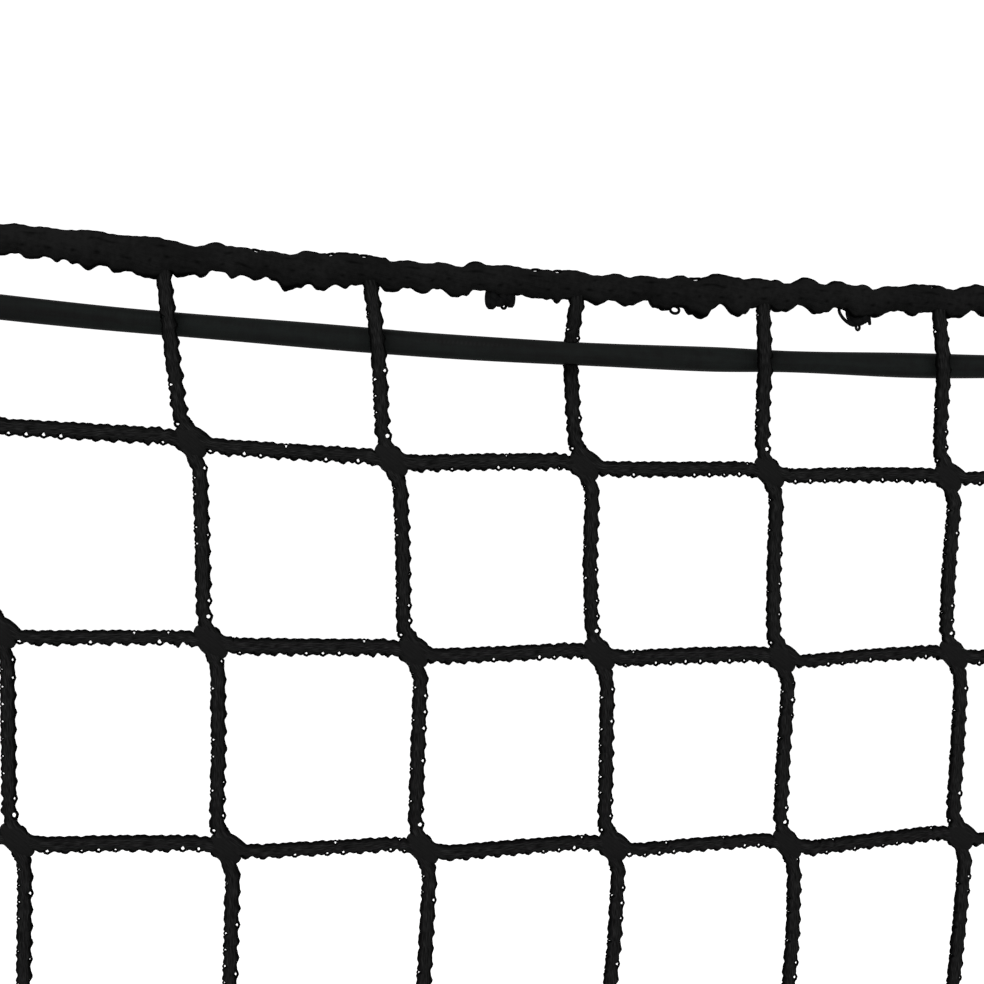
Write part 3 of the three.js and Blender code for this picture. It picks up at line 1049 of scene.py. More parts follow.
def strand_frame(route, joins):
    """Along a route, as columns: its distance, its stitch number, the direction across the strand in
    the plane of the net, and the direction away from the viewer, both square to the run."""
    far = distance_along(route)
    along = unit(np.gradient(route, axis=0))
    across = unit(np.cross(along, VIEWER))
    number = stitch_numbers(route, far, joins)
    return np.column_stack([far, number, route, across, np.cross(across, along)])


def at_stitches(frame_of, stitch):
    """Distance, centre, across and depth at the given stitch numbers."""
    field = [np.interp(stitch, frame_of[:, 1], column) for column in frame_of.T]
    return field[0], *(np.stack(field[start : start + 3], axis=-1) for start in (2, 5, 8))


def near_join(points, reach):
    """1 at a join and 0 away from it: a bell curve of the distance to the nearest join."""
    apart = points[:, None, [0, 2]] - JOIN_CENTRES.reshape(-1, 3)[None, :, [0, 2]]
    return np.exp(-(apart**2).sum(2).min(1) / reach**2)


print("a stitch every", STITCH, "m")

# %% The edges of a strand
BODY_WIDE = 1.79 * MM  # half the width of the chains
TURNED = (-0.035, 0.065)  # how much wider a level strand shows that leaves an even or an odd join
SPREAD = 0.6  # how much wider a hanging strand shows, for each metre to the right
# The bumps of each edge: a wave once a stitch and one twice a stitch, and how far the second lags
# behind the first, in stitches
LOWER = (0.2 * MM, 0.17 * MM, 0.1)
UPPER = (0.08 * MM, 0.09 * MM, 0.2)
RIGHT = (0.19 * MM, 0.06 * MM, 0.1)
LEFT = (0.12 * MM, 0.08 * MM, 0.2)


def wave_of(edge, past):
    """The height of an edge at so many stitches past the top of a bump."""
    once, twice, lag = edge
    return once * np.cos(2 * np.pi * past) + twice * np.cos(4 * np.pi * (past - lag))


def edge_height(side, level, past):
    """How far an edge stands out, for side 1, which is below or at the left, and side -1, above or
    at the right, of a strand that is level (1) or hangs (0)."""
    of_level = np.where(side > 0, wave_of(LOWER, past), wave_of(UPPER, past))
    of_hanging = np.where(side > 0, wave_of(LEFT, past), wave_of(RIGHT, past))
    return level * of_level + (1 - level) * of_hanging


# Places near the joins: stitches past the middle number, half the length in stitches, how far the
# edge stands out there, the side it is on, whether it is on the braid that comes down to the join,
# and the joins that have it, as the rest of row plus column over 2, or -1 for all
OPEN_RIGHT = (-0.83, 0.19, -1.3 * MM, -1, True, 1)
OPEN_LEFT = (-0.62, 0.15, -1.15 * MM, 1, True, 0)
CORNERS = (
    (-0.45, 0.6, 0.3 * MM, 1, True, 0),
    (-0.35, 0.22, 0.4 * MM, 1, True, 0),
    (0.38, 0.35, 0.45 * MM, -1, True, 0),
    (0.1, 0.6, -0.5 * MM, -1, True, 1),
    (0.2, 0.5, -0.45 * MM, 1, False, -1),
    (1.25, 0.35, -0.35 * MM, 1, True, 0),
)


def numbers_of(place, joins):
    """The stitch numbers of one kind of place on a braid."""
    rows, columns, middle, down = joins
    chosen = (down == place[4]) & ((place[5] < 0) | ((rows + columns) % 2 == place[5]))
    return middle[chosen] + place[0]


def near_places(stitch, place, joins):
    """1 at a kind of place and 0 away from it: e to the minus fourth power of the distance over the
    half length."""
    apart = stitch[:, None] - numbers_of(place, joins)
    return np.exp(-((apart / place[1]) ** 4)).sum(1)


def half_width(stitch, centre, level, joins):
    """Half the width of a strand. The braids lie a little turned, one kind more than the other, and
    the hanging strands are drawn thinner toward the left, where the net is pulled. The middle of a
    level strand is half a side past the join that the braid comes down to."""
    rows, columns, middle, down = joins
    turned = TURNED[(rows + columns)[down][0] % 2]
    wider = np.interp(stitch, middle[down] + STITCHES / 2, WIDER[rows[down], columns[down]])
    plain = BODY_WIDE * (1 + level * turned + (1 - level) * SPREAD * (centre[:, 0] + MESH))
    return plain + level * wider


def looseness(side, level):
    """1 on the two loose edges, the lower and the right one, and 0 on the tight ones."""
    return np.where(side > 0, level, 1 - level)


# The share of stitches that are notched: on a level strand, on a hanging one, and on the last part
# of a hanging one, which begins at that part of the way to its next join
NOTCHED_BELOW_OR_LEFT = (0.5, 0.6, 0.0, 0.8)
NOTCHED_ABOVE_OR_RIGHT = (0.15, 0.3, 0.9, 0.74)
NOTCHED_BY_ROPE = 0.3  # the part of them that is left above the elastic cord


def notched(edge, level, part):
    """The share of stitches that are notched on one edge, at some part of the way between joins."""
    of_level, of_hanging, of_last, last = edge
    return level * of_level + (1 - level) * np.where(part > last, of_last, of_hanging)


def hole_share(side, level, part, centre):
    """The same for both edges. Between the rope and the elastic cord there are few."""
    below = rope_height(centre[:, 0]) - centre[:, 2]
    few = np.where(below < CORD_DROP + GIVE_REACH, NOTCHED_BY_ROPE, 1.0)
    edges = (notched(edge, level, part) for edge in (NOTCHED_BELOW_OR_LEFT, NOTCHED_ABOVE_OR_RIGHT))
    return few * np.where(side > 0, *edges)


heights = edge_height(1, 1, np.array([0.0, 0.5]))
print("under a level strand, a bump and the gap after it:", heights.round(5).tolist(), "m")

# %% The chains of one braid
BODY_THICK = 1.0 * MM  # half the thickness of the chains
BODY_SIDES = 12
BODY_RINGS = 12  # for each stitch
SEAM = 0.1 * MM  # the groove down the middle
SEAM_WIDE = 0.4  # as a part of half the width
BUMP_SIZES = (0.6, 1.4)  # the smallest and the largest bump, as parts of the usual one
LATE = (0.65, 0.85)  # the part of the way to the next join where the strand begins to loosen
LATE_BUMPS = 0.7  # how much larger the bumps are there
EDGE_WANDER = 0.07 * MM  # how far an edge wanders, with waves of two lengths
EDGE_WAVES = np.array([9, 5.3]) * MM
ANY_PHASE = (0, 6.28)
NOTCH = (0.9 * MM, 1.13 * MM)  # the depth of a middling notch, at a tight and at a loose edge
NOTCH_SHARP = (6, 3.5)  # how narrow a notch is there
CALM = 2.8 * MM  # the reach of the bell curve that flattens the bumps at a join
WHOLE = 3.8 * MM  # of the one that fills the notches there
WORN = 2.4 * MM  # of the one that wears the surface smooth
LEAST_HALF = 0.45 * MM  # of the width, under the deepest notch
EDGE_DARK = 0.58  # the part of the half width where painted shade begins on a tight edge
LOOSE_DARK = 0.08  # how much sooner a loose one does
DARK_SPAN = 0.3


def drawn(stitch, low, high):
    """A value drawn for each whole stitch number, and the values between by straight lines."""
    first = int(np.floor(stitch.min())) - 1
    numbers = np.arange(first, int(np.ceil(stitch.max())) + 2)
    return np.interp(stitch, numbers, chance.uniform(low, high, len(numbers)))


def drawn_whole(stitch, low, high):
    """A value drawn for each whole stitch number, and kept for half a stitch on both sides of it."""
    first = int(np.floor(stitch.min())) - 1
    values = chance.uniform(low, high, int(np.ceil(stitch.max())) - first + 3)
    return values[np.round(stitch).astype(int) - first]


def bumps(side, past, late, level, at):
    """The bumps of one edge, each of its own size, and its slow wandering."""
    height = edge_height(side, level, past) * drawn(past, *BUMP_SIZES) * (1 + LATE_BUMPS * late)
    return height + EDGE_WANDER * wander(at, EDGE_WAVES, chance.uniform(*ANY_PHASE, 2))


def notches(side, past, part, late, level, centre):
    """The depth of the notches in one edge. A stitch has one where its drawn number is below the
    share of stitches that do, and the further below, the deeper it is, from 0.7 to 1.2 times the
    middling depth, and up to 0.3 more on a free edge that comes to its next join. An edge is as
    free as it is loose, but on a hanging strand only 0.3 of that. Along the strand the depth goes
    as e to the sharpness times the cosine of the angle less one."""
    share = np.maximum(hole_share(side, level, part, centre), 0.01)
    spare = 1 - drawn_whole(past, 0, 1) / share
    loose = looseness(side, level)
    free = loose * (0.3 + 0.7 * level)
    deep = between(NOTCH, free) * (0.7 + 0.5 * spare + 0.3 * late * free) * (spare > 0)
    return deep * np.exp((between(NOTCH_SHARP, loose) - late) * (np.cos(2 * np.pi * past) - 1))


def edge_reach(side, stitch, at, centre, level, joins):
    """How far one edge stands out from the middle of the strand: half the width, with its bumps and
    notches, which end at the joins, and what the special places near a join add."""
    past = stitch - 0.5 + 0.25 * side
    part = (stitch - START_STITCH) % (STITCHES - LOST_IN_TURN) / STITCHES
    late = ramp(part, *LATE)
    relief = bumps(side, past, late, level, at)
    whole = 1 - near_join(centre, WHOLE)
    relief = relief - whole * notches(side, past, part, late, level, centre)
    reach = half_width(stitch, centre, level, joins) + (1 - near_join(centre, CALM)) * relief
    for place in (OPEN_RIGHT, OPEN_LEFT, *CORNERS):
        if place[3] == side:
            reach = reach + place[2] * near_places(stitch, place, joins)
    return np.maximum(reach, LEAST_HALF)


def chains(frame_of, joins):
    """The chains of one braid as (distances, rings, painted shade and wear). A ring is an oval with a
    groove down its middle, as wide on each side as that edge reaches. The edges are painted dark as
    shade and the joins worn."""
    low, high = frame_of[[0, -1], 1]
    stitch = np.arange(np.ceil(low * BODY_RINGS), high * BODY_RINGS) / BODY_RINGS
    at, centre, across, depth = at_stitches(frame_of, stitch)
    level = across[:, 2] ** 2
    low_edge, high_edge = (edge_reach(side, stitch, at, centre, level, joins) for side in (1, -1))
    turn = 2 * np.pi * np.arange(BODY_SIDES) / BODY_SIDES
    aside, deep = -np.cos(turn)[None], np.sin(turn)[None]
    calm = 1 - near_join(centre, CALM)
    seam = SEAM * calm[:, None] * np.exp(-((aside / SEAM_WIDE) ** 2))
    sideways = np.where(aside > 0, low_edge[:, None], high_edge[:, None]) * aside
    thick = (BODY_THICK - seam) * deep
    rings = centre[:, None] + across[:, None] * sideways[..., None] + depth[:, None] * thick[..., None]
    inner = near_join(rings.reshape(-1, 3), WORN).reshape(rings.shape[:2])
    # painted shade: the chains go dark toward both edges, and near the joins the worn colour takes its
    # place
    start = EDGE_DARK - LOOSE_DARK * looseness(np.sign(aside), level[:, None])
    dark = ramp(np.abs(aside), start, start + DARK_SPAN)
    return at, rings, dark * (1 - inner) + JOIN_WORN * inner


print("a ring of chains every", round(STITCH / BODY_RINGS / MM, 3), "mm")

# %% The other yarns of a braid
EDGE_YARN = (0.25 * MM, 0.33 * MM)  # the swinging yarn's radius, at a tight and at a loose edge
EDGE_SIDES = 5
EDGE_DEEP = 0.6 * MM  # how far it swings in and out
EDGE_ROUND = 0.065  # how far a loop is widened at its tip, in stitches
EDGE_OUT = 0.1 * MM  # how far a loose loop stands out past the chains
UNEVEN_OUT = (-0.08, 0.12)  # the least and the most by which a loop stands further out, in mm
EDGE_DRAWN_IN = 0.2  # the part of its reach that it loses at a join
DRAWN_IN = 3.5 * MM  # this close to a join it is drawn in
OPENED = 0.06 * MM  # how much thicker it is in an open loop
LOOP_ARC = np.linspace(-2.2, 2.2, 9)  # the angles round an open loop
LOOP_OUT = 1.25 * MM
LOOP_ROUND = 0.62 * MM
LOOP_YARN = 0.36 * MM


def swinging_yarn(frame_of, joins):
    """The swinging yarn as (distances, rings, painted shade and wear), all of it painted dark as shade.
    Across the strand it goes as the sine of its angle, one turn a stitch, and in and out as the cosine.
    Along the strand it is drawn out at the edges by the sine of twice the angle, which rounds the tips.
    At a join it is drawn in."""
    low, high = frame_of[[0, -1], 1]
    steady = np.arange(np.ceil(low * BODY_RINGS) + 1, high * BODY_RINGS - 1) / BODY_RINGS
    angle = 2 * np.pi * steady
    at, centre, across, depth = at_stitches(frame_of, steady - EDGE_ROUND * np.sin(2 * angle))
    side = np.where(np.sin(angle) >= 0, 1, -1)
    level = across[:, 2] ** 2
    loose = looseness(side, level)
    opened = near_places(steady, OPEN_RIGHT, joins)
    radius = between(EDGE_YARN, loose) + OPENED * opened
    out = EDGE_OUT * loose + drawn(2 * steady, *UNEVEN_OUT) * MM * (1 - opened)
    reach = half_width(steady, centre, level, joins) + edge_height(side, level, 0) - radius + out
    sideways = reach * (1 - EDGE_DRAWN_IN * near_join(centre, DRAWN_IN)) * np.sin(angle)
    line = centre + across * sideways[:, None] + depth * (EDGE_DEEP * np.cos(angle))[:, None]
    # painted shade: the whole swinging yarn is dark
    return at, rings_round(line, radius, EDGE_SIDES, depth), np.ones((len(at), EDGE_SIDES))


def open_loops(frame_of, joins):
    """The loops in the corner left of a strand that comes down to an even join, as (distances, rings,
    painted shade and wear): most of a circle of yarn each, its ends inside the chains, all of it
    painted dark as shade."""
    loops = []
    for number in numbers_of(OPEN_LEFT, joins):
        at, centre, across, depth = at_stitches(frame_of, np.full(len(LOOP_ARC), number))
        out = (LOOP_OUT + LOOP_ROUND * np.cos(LOOP_ARC))[:, None]
        down = (LOOP_ROUND * np.sin(LOOP_ARC))[:, None]
        line = centre + across * out + np.cross(across, depth) * down
        rings = rings_round(line, LOOP_YARN, EDGE_SIDES, depth)
        # painted shade: the whole loop is dark
        loops.append((at, rings, np.ones((len(at), EDGE_SIDES))))
    return loops


first_joins = [(0, column, 0) for column in range(CELLS_WIDE + 1)]
first_joins += [(row + 1, 0, -1) for row in range(LAST_ROW)]
yarns_of = []
for route, first_join in zip(routes, first_joins):
    joins = met_by(*first_join)
    frame_of = strand_frame(route, joins)
    yarns = [chains(frame_of, joins), swinging_yarn(frame_of, joins), *open_loops(frame_of, joins)]
    yarns_of.append(yarns)
print(sum(len(yarn[0]) for yarns in yarns_of for yarn in yarns), "rings of yarn")

# %% [markdown]
# ## The joins
#
# Where two braids lie side by side the machine passes their yarns through each other, and the
# fibres felt together with handling, so a join looks like one soft slanting pad with the braids
# running into it. Each pad is a flattened spindle along the slant of the join, a little lumpy, and
# wide enough to fill the groove between the two braids.

# %% Join pads
PAD_HALF = np.array([4.7, 2.85, 1.35]) * MM  # along the slant, across it, and through it
PAD_RINGS = 13
PAD_SIDES = 14
PAD_TIP = 0.49  # where its rings end, in half turns of the sine that spaces them
PAD_LUMPS = 0.05  # how lumpy it is, with waves of two lengths
PAD_WAVES = (0.9, 0.37)
PAD_SIZES = (0.94, 1.06)
EVEN_SHORTER = 0.4 * MM  # in an even join, so that the loop in its upper corner stays open
EVEN_MOVED = 0.25 * MM


def join_pad(row, column):
    """A spindle whose width at share t of its half length is the square root of 1 - t t, along a
    line that goes right and down at 45 degrees through the join."""
    t = np.sin(np.linspace(-PAD_TIP, PAD_TIP, PAD_RINGS) * np.pi)
    x, drop = join_at(row, column)
    even = 1 - (row + column) % 2
    slant = (t * (PAD_HALF[0] - EVEN_SHORTER * even) + EVEN_MOVED * even) / math.sqrt(2)
    lumpy = 1 + PAD_LUMPS * wander(t, PAD_WAVES, chance.uniform(*ANY_PHASE, 2))
    radius = chance.uniform(*PAD_SIZES) * PAD_HALF[1] * np.sqrt(1 - t**2) * lumpy
    line = hang(x + slant, drop + slant)
    rings = rings_round(line, radius, PAD_SIDES, VIEWER, PAD_HALF[2] / PAD_HALF[1])
    return stitched(rings, distance_along(line), JOIN_WORN)


print("a pad is", (2 * PAD_HALF).round(4).tolist(), "m long, wide and thick")

# %% [markdown]
# ## The panel in seven rows
#
# The whole panel is one cloth, but its mesh has more faces than one object carries well, so it is cut
# in the middle of the upright strands. Two neighbouring rows share the ring where a yarn is cut, so
# that no gap shows.

# %% The rows of the net
ROW_CUTS = (ROW_DROP[:-1] + ROW_DROP[1:]) / 2


def cuts_along(route):
    """The distances along a route at which it falls past each cut."""
    fall = np.maximum.accumulate(rope_height(route[:, 0]) - route[:, 2])
    steps = np.searchsorted(fall, ROW_CUTS)
    far = distance_along(route)
    return np.append(far, far[-1] + MESH)[steps]


def row_shapes(row):
    """The stretch of every yarn that belongs to one row, from cut to cut, and the row's pads."""
    shapes = [join_pad(row, column) for column in range(CELLS_WIDE + 1)]
    for route, yarns in zip(routes, yarns_of):
        cuts = np.concatenate([[-MESH], cuts_along(route), [route.size * MESH]])
        for at, rings, painted_shade_and_wear in yarns:
            first, last = np.searchsorted(at, cuts[row : row + 2])
            kept = slice(max(first - 1, 0), last)
            if len(rings[kept]) > 1:
                shapes.append(stitched(rings[kept], distance_along(rings[kept, 0]), painted_shade_and_wear[kept]))
    return shapes


for row in range(LAST_ROW + 1):
    shape = gathered(row_shapes(row))
    piece = make_piece(f"twine_row_{row + 1}", shape, twine_finish, ["net_panel"])

# %% [markdown]
# ## The shape of the border rope
#
# The top braid of the net and a filler strand are overlocked together into one lumpy rope. It could
# be sculpted, but its outline against the light is nearly all that is seen of it, so it is written
# down as a maker would measure it with a rule: how far it reaches below and above its middle at the
# top of each lump and the bottom of each hollow. Smooth steps join them. The stretches that are not
# listed have lumps of the same size and spacing, drawn by chance.

# %% The outline of the rope, as measured
# Each lump or hollow of the lower side: its place along the rope and its reach, in millimetres
LOWER_SIDE = [
    (-171, 3.5), (-168, 2.7), (-164.7, 3.6), (-161.4, 2.8), (-159.3, 3.6), (-157.9, 3.0),
    (-155.6, 3.7), (-154.8, 3.6), (-152.9, 4.7), (-149.8, 3.4), (-146.5, 4.7), (-144.3, 4.1),
    (-141.2, 5.0), (-139, 5.3), (-135.2, 3.8), (-133.4, 4.5), (-130.5, 3.7), (-128.2, 4.0),
    (-126.1, 2.4), (-124.1, 2.5), (-121.5, 3.7), (-119.8, 2.8), (-116.7, 3.7), (-114.5, 2.9),
    (-112.6, 3.4), (-110.1, 5.4), (-107, 4.5), (-105, 3.6), (-102.3, 4.8), (-98.8, 3.3), (-97, 3.9),
    (-94.8, 3.0), (-90.5, 2.5), (-86.7, 4.0), (-82.6, 2.8), (-79.6, 3.8), (-75.9, 2.5),
    (-72, 4.1), (-69.3, 3.5), (-67.4, 2.2), (-65.4, 2.3), (-61, 3.4), (-57, 2.7), (-54, 3.2),
    (-49.6, 3.3), (-48.2, 4.1), (-47.1, 3.1), (-42.5, 2.8), (-38.8, 3.9), (-35.5, 2.7), (-32, 3.8),
    (-26.4, 2.3), (-25.6, 3.8), (-22, 4.4), (-20.6, 3.4), (-18.5, 3.5), (-16.2, 5.0),
    (-14, 5.8), (-12.7, 5.6), (-11.2, 3.6), (-9.1, 2.4), (-5.2, 5.0), (-3.1, 4.4),
    (-1.8, 3.0), (2.3, 2.4), (4.7, 3.6), (7, 3.5), (10.4, 1.8), (14.8, 3.8), (17, 3.3),
    (19.2, 2.2), (21.6, 2.5), (24, 4.6),
    (29.8, 4.1), (33.4, 2.7), (36, 2.5), (38.6, 3.6), (41.8, 2.7), (46.4, 2.7), (48.4, 3.9),
    (51, 3.8), (54.4, 2.0), (57.4, 3.4),
]  # fmt: skip
UPPER_SIDE = [
    (-171, 3.1), (-167.5, 3.6), (-164.6, 3.3), (-162, 3.5), (-158.5, 3.3), (-151.5, 3.8),
    (-146.5, 3.4), (-138, 3.7), (-135.5, 3.3), (-130, 2.5), (-125, 3.8), (-122.8, 3.2),
    (-119.5, 3.2), (-113, 2.9), (-109.3, 2.5), (-105.2, 3.7), (-102.8, 3.4), (-97, 4.0),
    (-93, 3.9), (-88.3, 3.5), (-86.6, 2.8), (-83, 3.3), (-79, 2.9), (-75.3, 3.4), (-71, 2.7),
    (-67.6, 4.2), (-64, 3.5), (-60.5, 3.8), (-55, 3.3), (-53, 3.5), (-51.4, 3.3), (-45, 3.6),
    (-38.8, 2.7), (-34, 3.4), (-31.8, 2.7), (-28, 3.3), (-23, 2.9), (-18.7, 3.8), (-17, 3.4),
    (-14.5, 3.5), (-10.1, 4.6), (-5.5, 4.0), (-3.8, 3.6), (-0.5, 4.0), (3, 3.6), (4, 3.8),
    (6.9, 3.0), (11.6, 4.6), (16.4, 3.1), (19, 4.1), (24, 3.1), (26, 3.4), (29, 2.3),
    (31.8, 3.2), (35, 3.2), (39.5, 3.9), (44, 3.8), (49, 2.8), (52.3, 3.6), (55, 4.2), (57.5, 3.8),
]  # fmt: skip
print(len(LOWER_SIDE), "stations under the rope,", len(UPPER_SIDE), "over it")

# %% The outline of the rope, with the stretches that are not listed
ROPE_END = HALF_WIDTH + 8 * MM


def rounded(t):
    """A step from 0 to 1 as t t t (10 - 15 t + 6 t t), so level at both ends that lumps are round
    and hollows too."""
    return t**3 * (10 - 15 * t + 6 * t**2)


def guessed(start, end, spacing, hollow, lump):
    """Lumps and hollows in turn from start to end, in millimetres, each moved by up to a quarter of
    the spacing, with a reach drawn between the two values given for its kind."""
    places = np.arange(start, end, spacing)
    places = places + spacing * chance.uniform(-0.25, 0.25, len(places))
    low = chance.uniform(*hollow, len(places))
    high = chance.uniform(*lump, len(places))
    reach = np.where(np.arange(len(places)) % 2 == 0, low, high)
    return list(zip(places, reach))


def whole_side(seen, spacing, hollow, lump):
    """A measured side with guessed ones before and after it, as places and reaches in metres."""
    before = guessed(-ROPE_END / MM, seen[0][0] - 1.5, spacing, hollow, lump)
    after = guessed(seen[-1][0] + 2.5, ROPE_END / MM + spacing, spacing, hollow, lump)
    return np.array(before + seen + after).T * MM


lower_side = whole_side(LOWER_SIDE, 2.9, (2.5, 3.3), (3.5, 4.9))
upper_side = whole_side(UPPER_SIDE, 3.6, (2.7, 3.3), (3.5, 4.3))
print("the lower side runs from", round(lower_side[0][0], 4), "to", round(lower_side[0][-1], 4), "m")

# %% The surface of the rope
ROPE_UP = 3.2 * MM  # from the rope's middle to its top, where it is plain
ROPE_DOWN = 2.7 * MM
ROPE_DEEP = 3.1 * MM
LUMP_WIDE = 0.8  # how far round the rope the lumps of a side reach, in radians
LUMP_LEAN = 0.15  # how far they lean to the front and to the back, in waves of that length
LEAN_LENGTH = 23 * MM
LOWER_GAIN = 1.06  # makes the whole lower side this much larger, as found by comparing outlines
RAGGED = 0.2 * MM  # how far single yarns stand out of a lump
RAGGED_WAVES = np.array([1.7, 2.3, 3.1]) * MM
# The unevenness of the front and back: the height and length of each wave, and its turns round
SLOW_WAVES = ((0.09 * MM, 17 * MM, 2), (0.07 * MM, 7.3 * MM, -3))
GROOVE = 0.05 * MM  # between the lengthwise yarns
YARNS_ROUND = 9
GROOVE_PITCH = 110 * MM  # in which they wind once round the rope


def bell_round(angle, middle, width):
    """A bell curve of the angle from a direction, taken the short way round."""
    return np.exp(-0.5 * (np.angle(np.exp(1j * (angle - middle))) / width) ** 2)


def unevenness(x, angle):
    """Slow waves, and a shallow groove for every lengthwise yarn, at the front and the back."""
    slow = sum(high * np.sin(2 * np.pi * x / long + turns * angle) for high, long, turns in SLOW_WAVES)
    winding = angle + 2 * np.pi * x / GROOVE_PITCH
    grooves = GROOVE * np.abs(np.cos(YARNS_ROUND / 2 * winding))
    return (slow - grooves) * np.abs(np.cos(angle))


def rope_radius(x, angle):
    """From the rope's middle to its surface, at an angle that is 0 away from the viewer and a
    quarter turn at the top: an oval with its own upper and lower half, plus the unevenness and the
    lumps of both sides, which fade out round the rope."""
    upright = np.where(np.sin(angle) > 0, ROPE_UP, ROPE_DOWN)
    plain = 1 / np.sqrt((np.cos(angle) / ROPE_DEEP) ** 2 + (np.sin(angle) / upright) ** 2)
    lean = LUMP_LEAN * np.sin(2 * np.pi * x / LEAN_LENGTH)
    ragged = RAGGED * wander(x, RAGGED_WAVES, [0.3, 1.9, 4.4])
    below = LOWER_GAIN * along_stations(x, lower_side, rounded) + ragged - ROPE_DOWN
    over = along_stations(x, upper_side, rounded) + ragged / 2 - ROPE_UP
    lumps = below * bell_round(angle, lean - np.pi / 2, LUMP_WIDE)
    lumps = lumps + over * bell_round(angle, lean + np.pi / 2, LUMP_WIDE)
    return plain + unevenness(x, angle) + lumps


def on_rope(x, angle, above):
    """Points above the rope's surface: its middle, plus the radius and that height times the
    direction."""
    radius = rope_radius(x, angle) + above
    away = np.stack([np.zeros_like(x), radius * np.cos(angle), radius * np.sin(angle)], axis=-1)
    return hang(x, 0) + away


print("plain rope", round(ROPE_UP + ROPE_DOWN, 4), "m high and", round(2 * ROPE_DEEP, 4), "m deep")

# %% [markdown]
# ## The yarns of the border rope
#
# The body of the rope is one surface round the measured outline. The overlock threads have sunk into
# it, and show as short dark pits in rows along it, whose shade the finish paints into the colour. Only
# here and there does a thread still stand off the top, over a hollow, and let a pinhole of light
# through. Those are laid on as pieces of yarn.

# %% Border rope
ROPE_RINGS = 1000
ROPE_SIDES = 44
END_ROUND = 2.2 * MM  # the length over which an end is drawn in
END_SIZE = 0.33  # what is left of it at the very end
DIMPLE = 0.72 * MM
DIMPLE_LONG = 0.75  # as a part of half the thread's span
DIMPLE_WIDE = 0.6  # in radians round the rope
BRIDGE_RINGS = 15
BRIDGE_SIDES = 6
BRIDGE_YARN = 0.32 * MM
BRIDGE_SUNK = (0.28 * MM, 0.78 * MM)  # how deep it lies at its middle and at its ends
BRIDGE_SLANT = 0.2  # how far round the rope it runs on each half, in radians
# Each thread that bridges a dimple at the top: its middle and half its span, in millimetres
BRIDGES = np.array(
    [
        (-116.8, 1.1), (-100.2, 1.0), (-92.8, 1.1), (-53.6, 1.2), (-48.4, 1.2), (-15.5, 1.7),
        (43.6, 1.1), (-201.0, 1.2), (-184.0, 1.0), (86.0, 1.1), (121.0, 1.3), (167.0, 1.0),
        (198.0, 1.4),
    ]
)  # fmt: skip


def rope_surface(x, angle):
    """The rope's surface with the dimples under its bridging threads."""
    above = 0.0
    for middle, half in BRIDGES * MM:
        along = np.exp(-np.abs((x - middle) / (DIMPLE_LONG * half)) ** 3)
        above = above - DIMPLE * along * bell_round(angle, np.pi / 2, DIMPLE_WIDE)
    return on_rope(x, angle, above)


def rope_body():
    """The closed surface of the rope: rings square to X, drawn in at both ends as a quarter circle.
    The rings go from right to left, because with this sense of the angle the faces look out."""
    x = np.linspace(ROPE_END, -ROPE_END, ROPE_RINGS)[:, None]
    angle = -2 * np.pi * np.arange(ROPE_SIDES)[None, :] / ROPE_SIDES
    x, angle = np.broadcast_arrays(x, angle)
    middle = hang(x, 0)
    left = ramp(ROPE_END - np.abs(x), 0, END_ROUND)[..., None]
    size = between((END_SIZE, 1), np.sqrt(left * (2 - left)))
    return stitched(middle + (rope_surface(x, angle) - middle) * size, x[:, 0])


def bridge(middle, half):
    """A short thread over a dimple: just under the rope's top, and dipping deeper at both ends."""
    t = np.linspace(-1, 1, BRIDGE_RINGS)
    x = (middle + half * t) * MM
    line = on_rope(x, np.pi / 2 + BRIDGE_SLANT * t, -between(BRIDGE_SUNK, t**6))
    return tube(line, BRIDGE_YARN, BRIDGE_SIDES, VIEWER)


rope_parts = [rope_body()] + [bridge(*row) for row in BRIDGES]
make_piece("border_rope_yarns", gathered(rope_parts), rope_finish, ["border_rope"])

# %% [markdown]
# ## Cut stubs under the rope
#
# Where the machine knitted on past the edge, every mesh has the stub of a strand that was cut off
# under the rope. What is left is a tuft of yarn ends and loops. Each is drawn as a few teardrops
# of yarn, fat ones for the stub itself and thin ones for the loops that have sprung open.

# %% Cut stubs
TUFT_RINGS = 22
FAT_YARN = 0.5  # the radius above which a yarn belongs to the stub itself, in millimetres
TUFT_SIDES = (6, 8)  # of a thin yarn and of a fat one
# A thin teardrop goes from 0.5 mm behind the rope's middle to 0.2 mm before it, and a fat one the
# other way: the mean of the two, and half the way between them, in millimetres
TUFT_DEPTH = (0.15, 0.35)
# Each teardrop: where it hangs, its top and lowest point below the rope's middle, half its width,
# how far its lowest point is to the right of its top, and its yarn's radius, in millimetres
SEEN_TUFTS = np.array(
    [
        (-63.5, 2.0, 5.6, 0.5, -0.1, 1.05), (-61.7, 2.0, 4.7, 0.8, 0.0, 1.2),
        (-60.2, 2.0, 4.4, 0.6, 0.1, 1.1), (-59.2, 2.0, 5.2, 0.35, 0.1, 0.8),
        (-60.6, 4.9, 6.1, 0.55, 0.0, 0.33), (-24.6, 2.6, 3.8, 1.2, 1.0, 0.5),
        (-20.2, 3.4, 5.1, 1.15, 0.2, 0.36), (-13.9, 2.5, 5.1, 0.9, 0.2, 0.8),
        (25.0, 1.8, 5.2, 1.2, 0.4, 1.3), (26.4, 1.8, 5.0, 0.7, 0.3, 0.95),
        (20.9, 2.2, 6.3, 1.6, 3.4, 0.42), (22.9, 2.8, 6.0, 0.9, 1.4, 0.5),
        (25.25, 6.0, 7.4, 0.55, 0.1, 0.36), (28.0, 3.6, 5.9, 0.12, 0.3, 0.42),
    ]
)  # fmt: skip


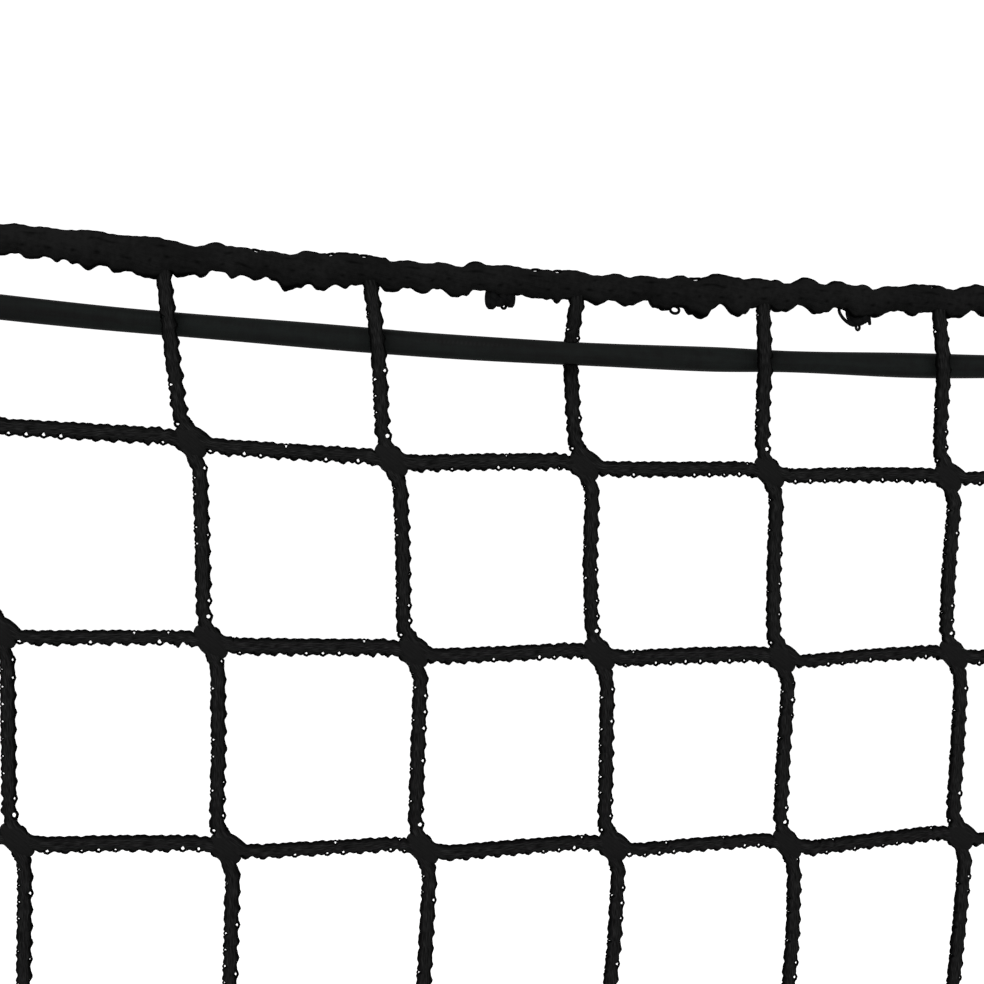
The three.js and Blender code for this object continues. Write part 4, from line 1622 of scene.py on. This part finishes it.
def teardrop(x, top, low, half, lean, radius):
    """A loop of yarn that leaves the rope and comes back: sideways it goes as the sine of t, and
    down as half of 1 - cos t, for t over one turn, with its lowest point moved by lean. In Y it
    goes through the rope's middle as the cosine of half of t."""
    t = np.linspace(0, 2 * np.pi, TUFT_RINGS)
    fall = (1 - np.cos(t)) / 2
    across = (x + half * np.sin(t) + lean * fall) * MM
    line = hang(across, (top + (low - top) * fall) * MM)
    depth = TUFT_DEPTH[0] + TUFT_DEPTH[1] * np.cos(t / 2)
    line[:, 1] += depth * MM * np.sign(FAT_YARN - radius)
    return tube(line, radius * MM, TUFT_SIDES[int(radius > FAT_YARN)], VIEWER)


def guessed_tuft(column):
    """A tuft in the middle of an unseen mesh: three fat teardrops and two thin ones by chance."""
    middle = (MESH * (column + 0.5) - HALF_WIDTH) / MM
    rows = [
        (middle + chance.uniform(-2.6, 2.6), 2.0, chance.uniform(3.8, 5.2), 0.6, 0.1, fat)
        for fat in chance.uniform(0.8, 1.2, 3)
    ]
    rows += [
        (middle + chance.uniform(-3, 3), 3.0, chance.uniform(5.4, 7.2), wide, wide - 0.8, 0.27)
        for wide in chance.uniform(0.6, 1.2, 2)
    ]
    return rows


unseen_meshes = [0, 6, 7, 8, 9]
tuft_rows = [tuple(row) for row in SEEN_TUFTS]
for column in unseen_meshes:
    tuft_rows += guessed_tuft(column)
# the stubs take the finish that is darkened as painted shade
make_piece("cut_stubs", gathered([teardrop(*row) for row in tuft_rows]), stub_finish_with_painted_shade)

# %% [markdown]
# ## Floor and light
#
# The net hangs in front of plain white. A white sky gives that from every side, and lights the
# fibres evenly. One soft panel from above and to the left brings out how round the cord is, and a
# weaker one from the right keeps the other flank from going flat.

# %% Floor and light
FLOOR_DROP = 0.43
FLOOR_RADIUS = 2.5
FLOOR_CORNERS = 96
SKY_STRENGTH = 1.12


def floor_disc():
    """A disc with one flat face."""
    turn = 2 * np.pi * np.arange(FLOOR_CORNERS) / FLOOR_CORNERS
    rim = np.stack([np.cos(turn), np.sin(turn), 0 * turn], axis=1) * FLOOR_RADIUS
    mesh = bpy.data.meshes.new("floor")
    mesh.from_pydata((rim - [0, 0, FLOOR_DROP]).tolist(), [], [list(range(FLOOR_CORNERS))])
    material = bpy.data.materials.new("pale_floor")
    material.use_nodes = True
    shader = material.node_tree.nodes["Principled BSDF"]
    shader.inputs["Base Color"].default_value = (0.93, 0.93, 0.93, 1)
    shader.inputs["Roughness"].default_value = 0.9
    shader.inputs["Specular IOR Level"].default_value = 0.1
    mesh.materials.append(material)
    floor = bpy.data.objects.new("floor", mesh)
    bpy.context.scene.collection.objects.link(floor)


def panel_light(name, place, target, size, watts):
    """A soft rectangular light at a place, facing its target."""
    data = bpy.data.lights.new(name, "AREA")
    data.shape = "RECTANGLE"
    data.size, data.size_y = size
    data.energy = watts
    light = bpy.data.objects.new(name, data)
    aim = (Vector(target) - Vector(place)).to_track_quat("-Z", "Y")
    light.matrix_world = Matrix.Translation(place) @ aim.to_matrix().to_4x4()
    bpy.context.scene.collection.objects.link(light)


floor_disc()
panel_light("key_light", (-0.7, -0.7, 0.75), (-0.05, 0, -0.08), (0.8, 0.6), 18)
panel_light("fill_light", (0.8, -0.6, 0.1), (0, 0, -0.1), (0.7, 0.7), 4)
sky = bpy.data.worlds.new("white_sky")
sky.use_nodes = True
sky.node_tree.nodes["Background"].inputs["Color"].default_value = (1, 1, 1, 1)
sky.node_tree.nodes["Background"].inputs["Strength"].default_value = SKY_STRENGTH
bpy.context.scene.world = sky
bpy.context.scene.view_settings.view_transform = "Standard"
print("floor", FLOOR_DROP, "m below the top edge")
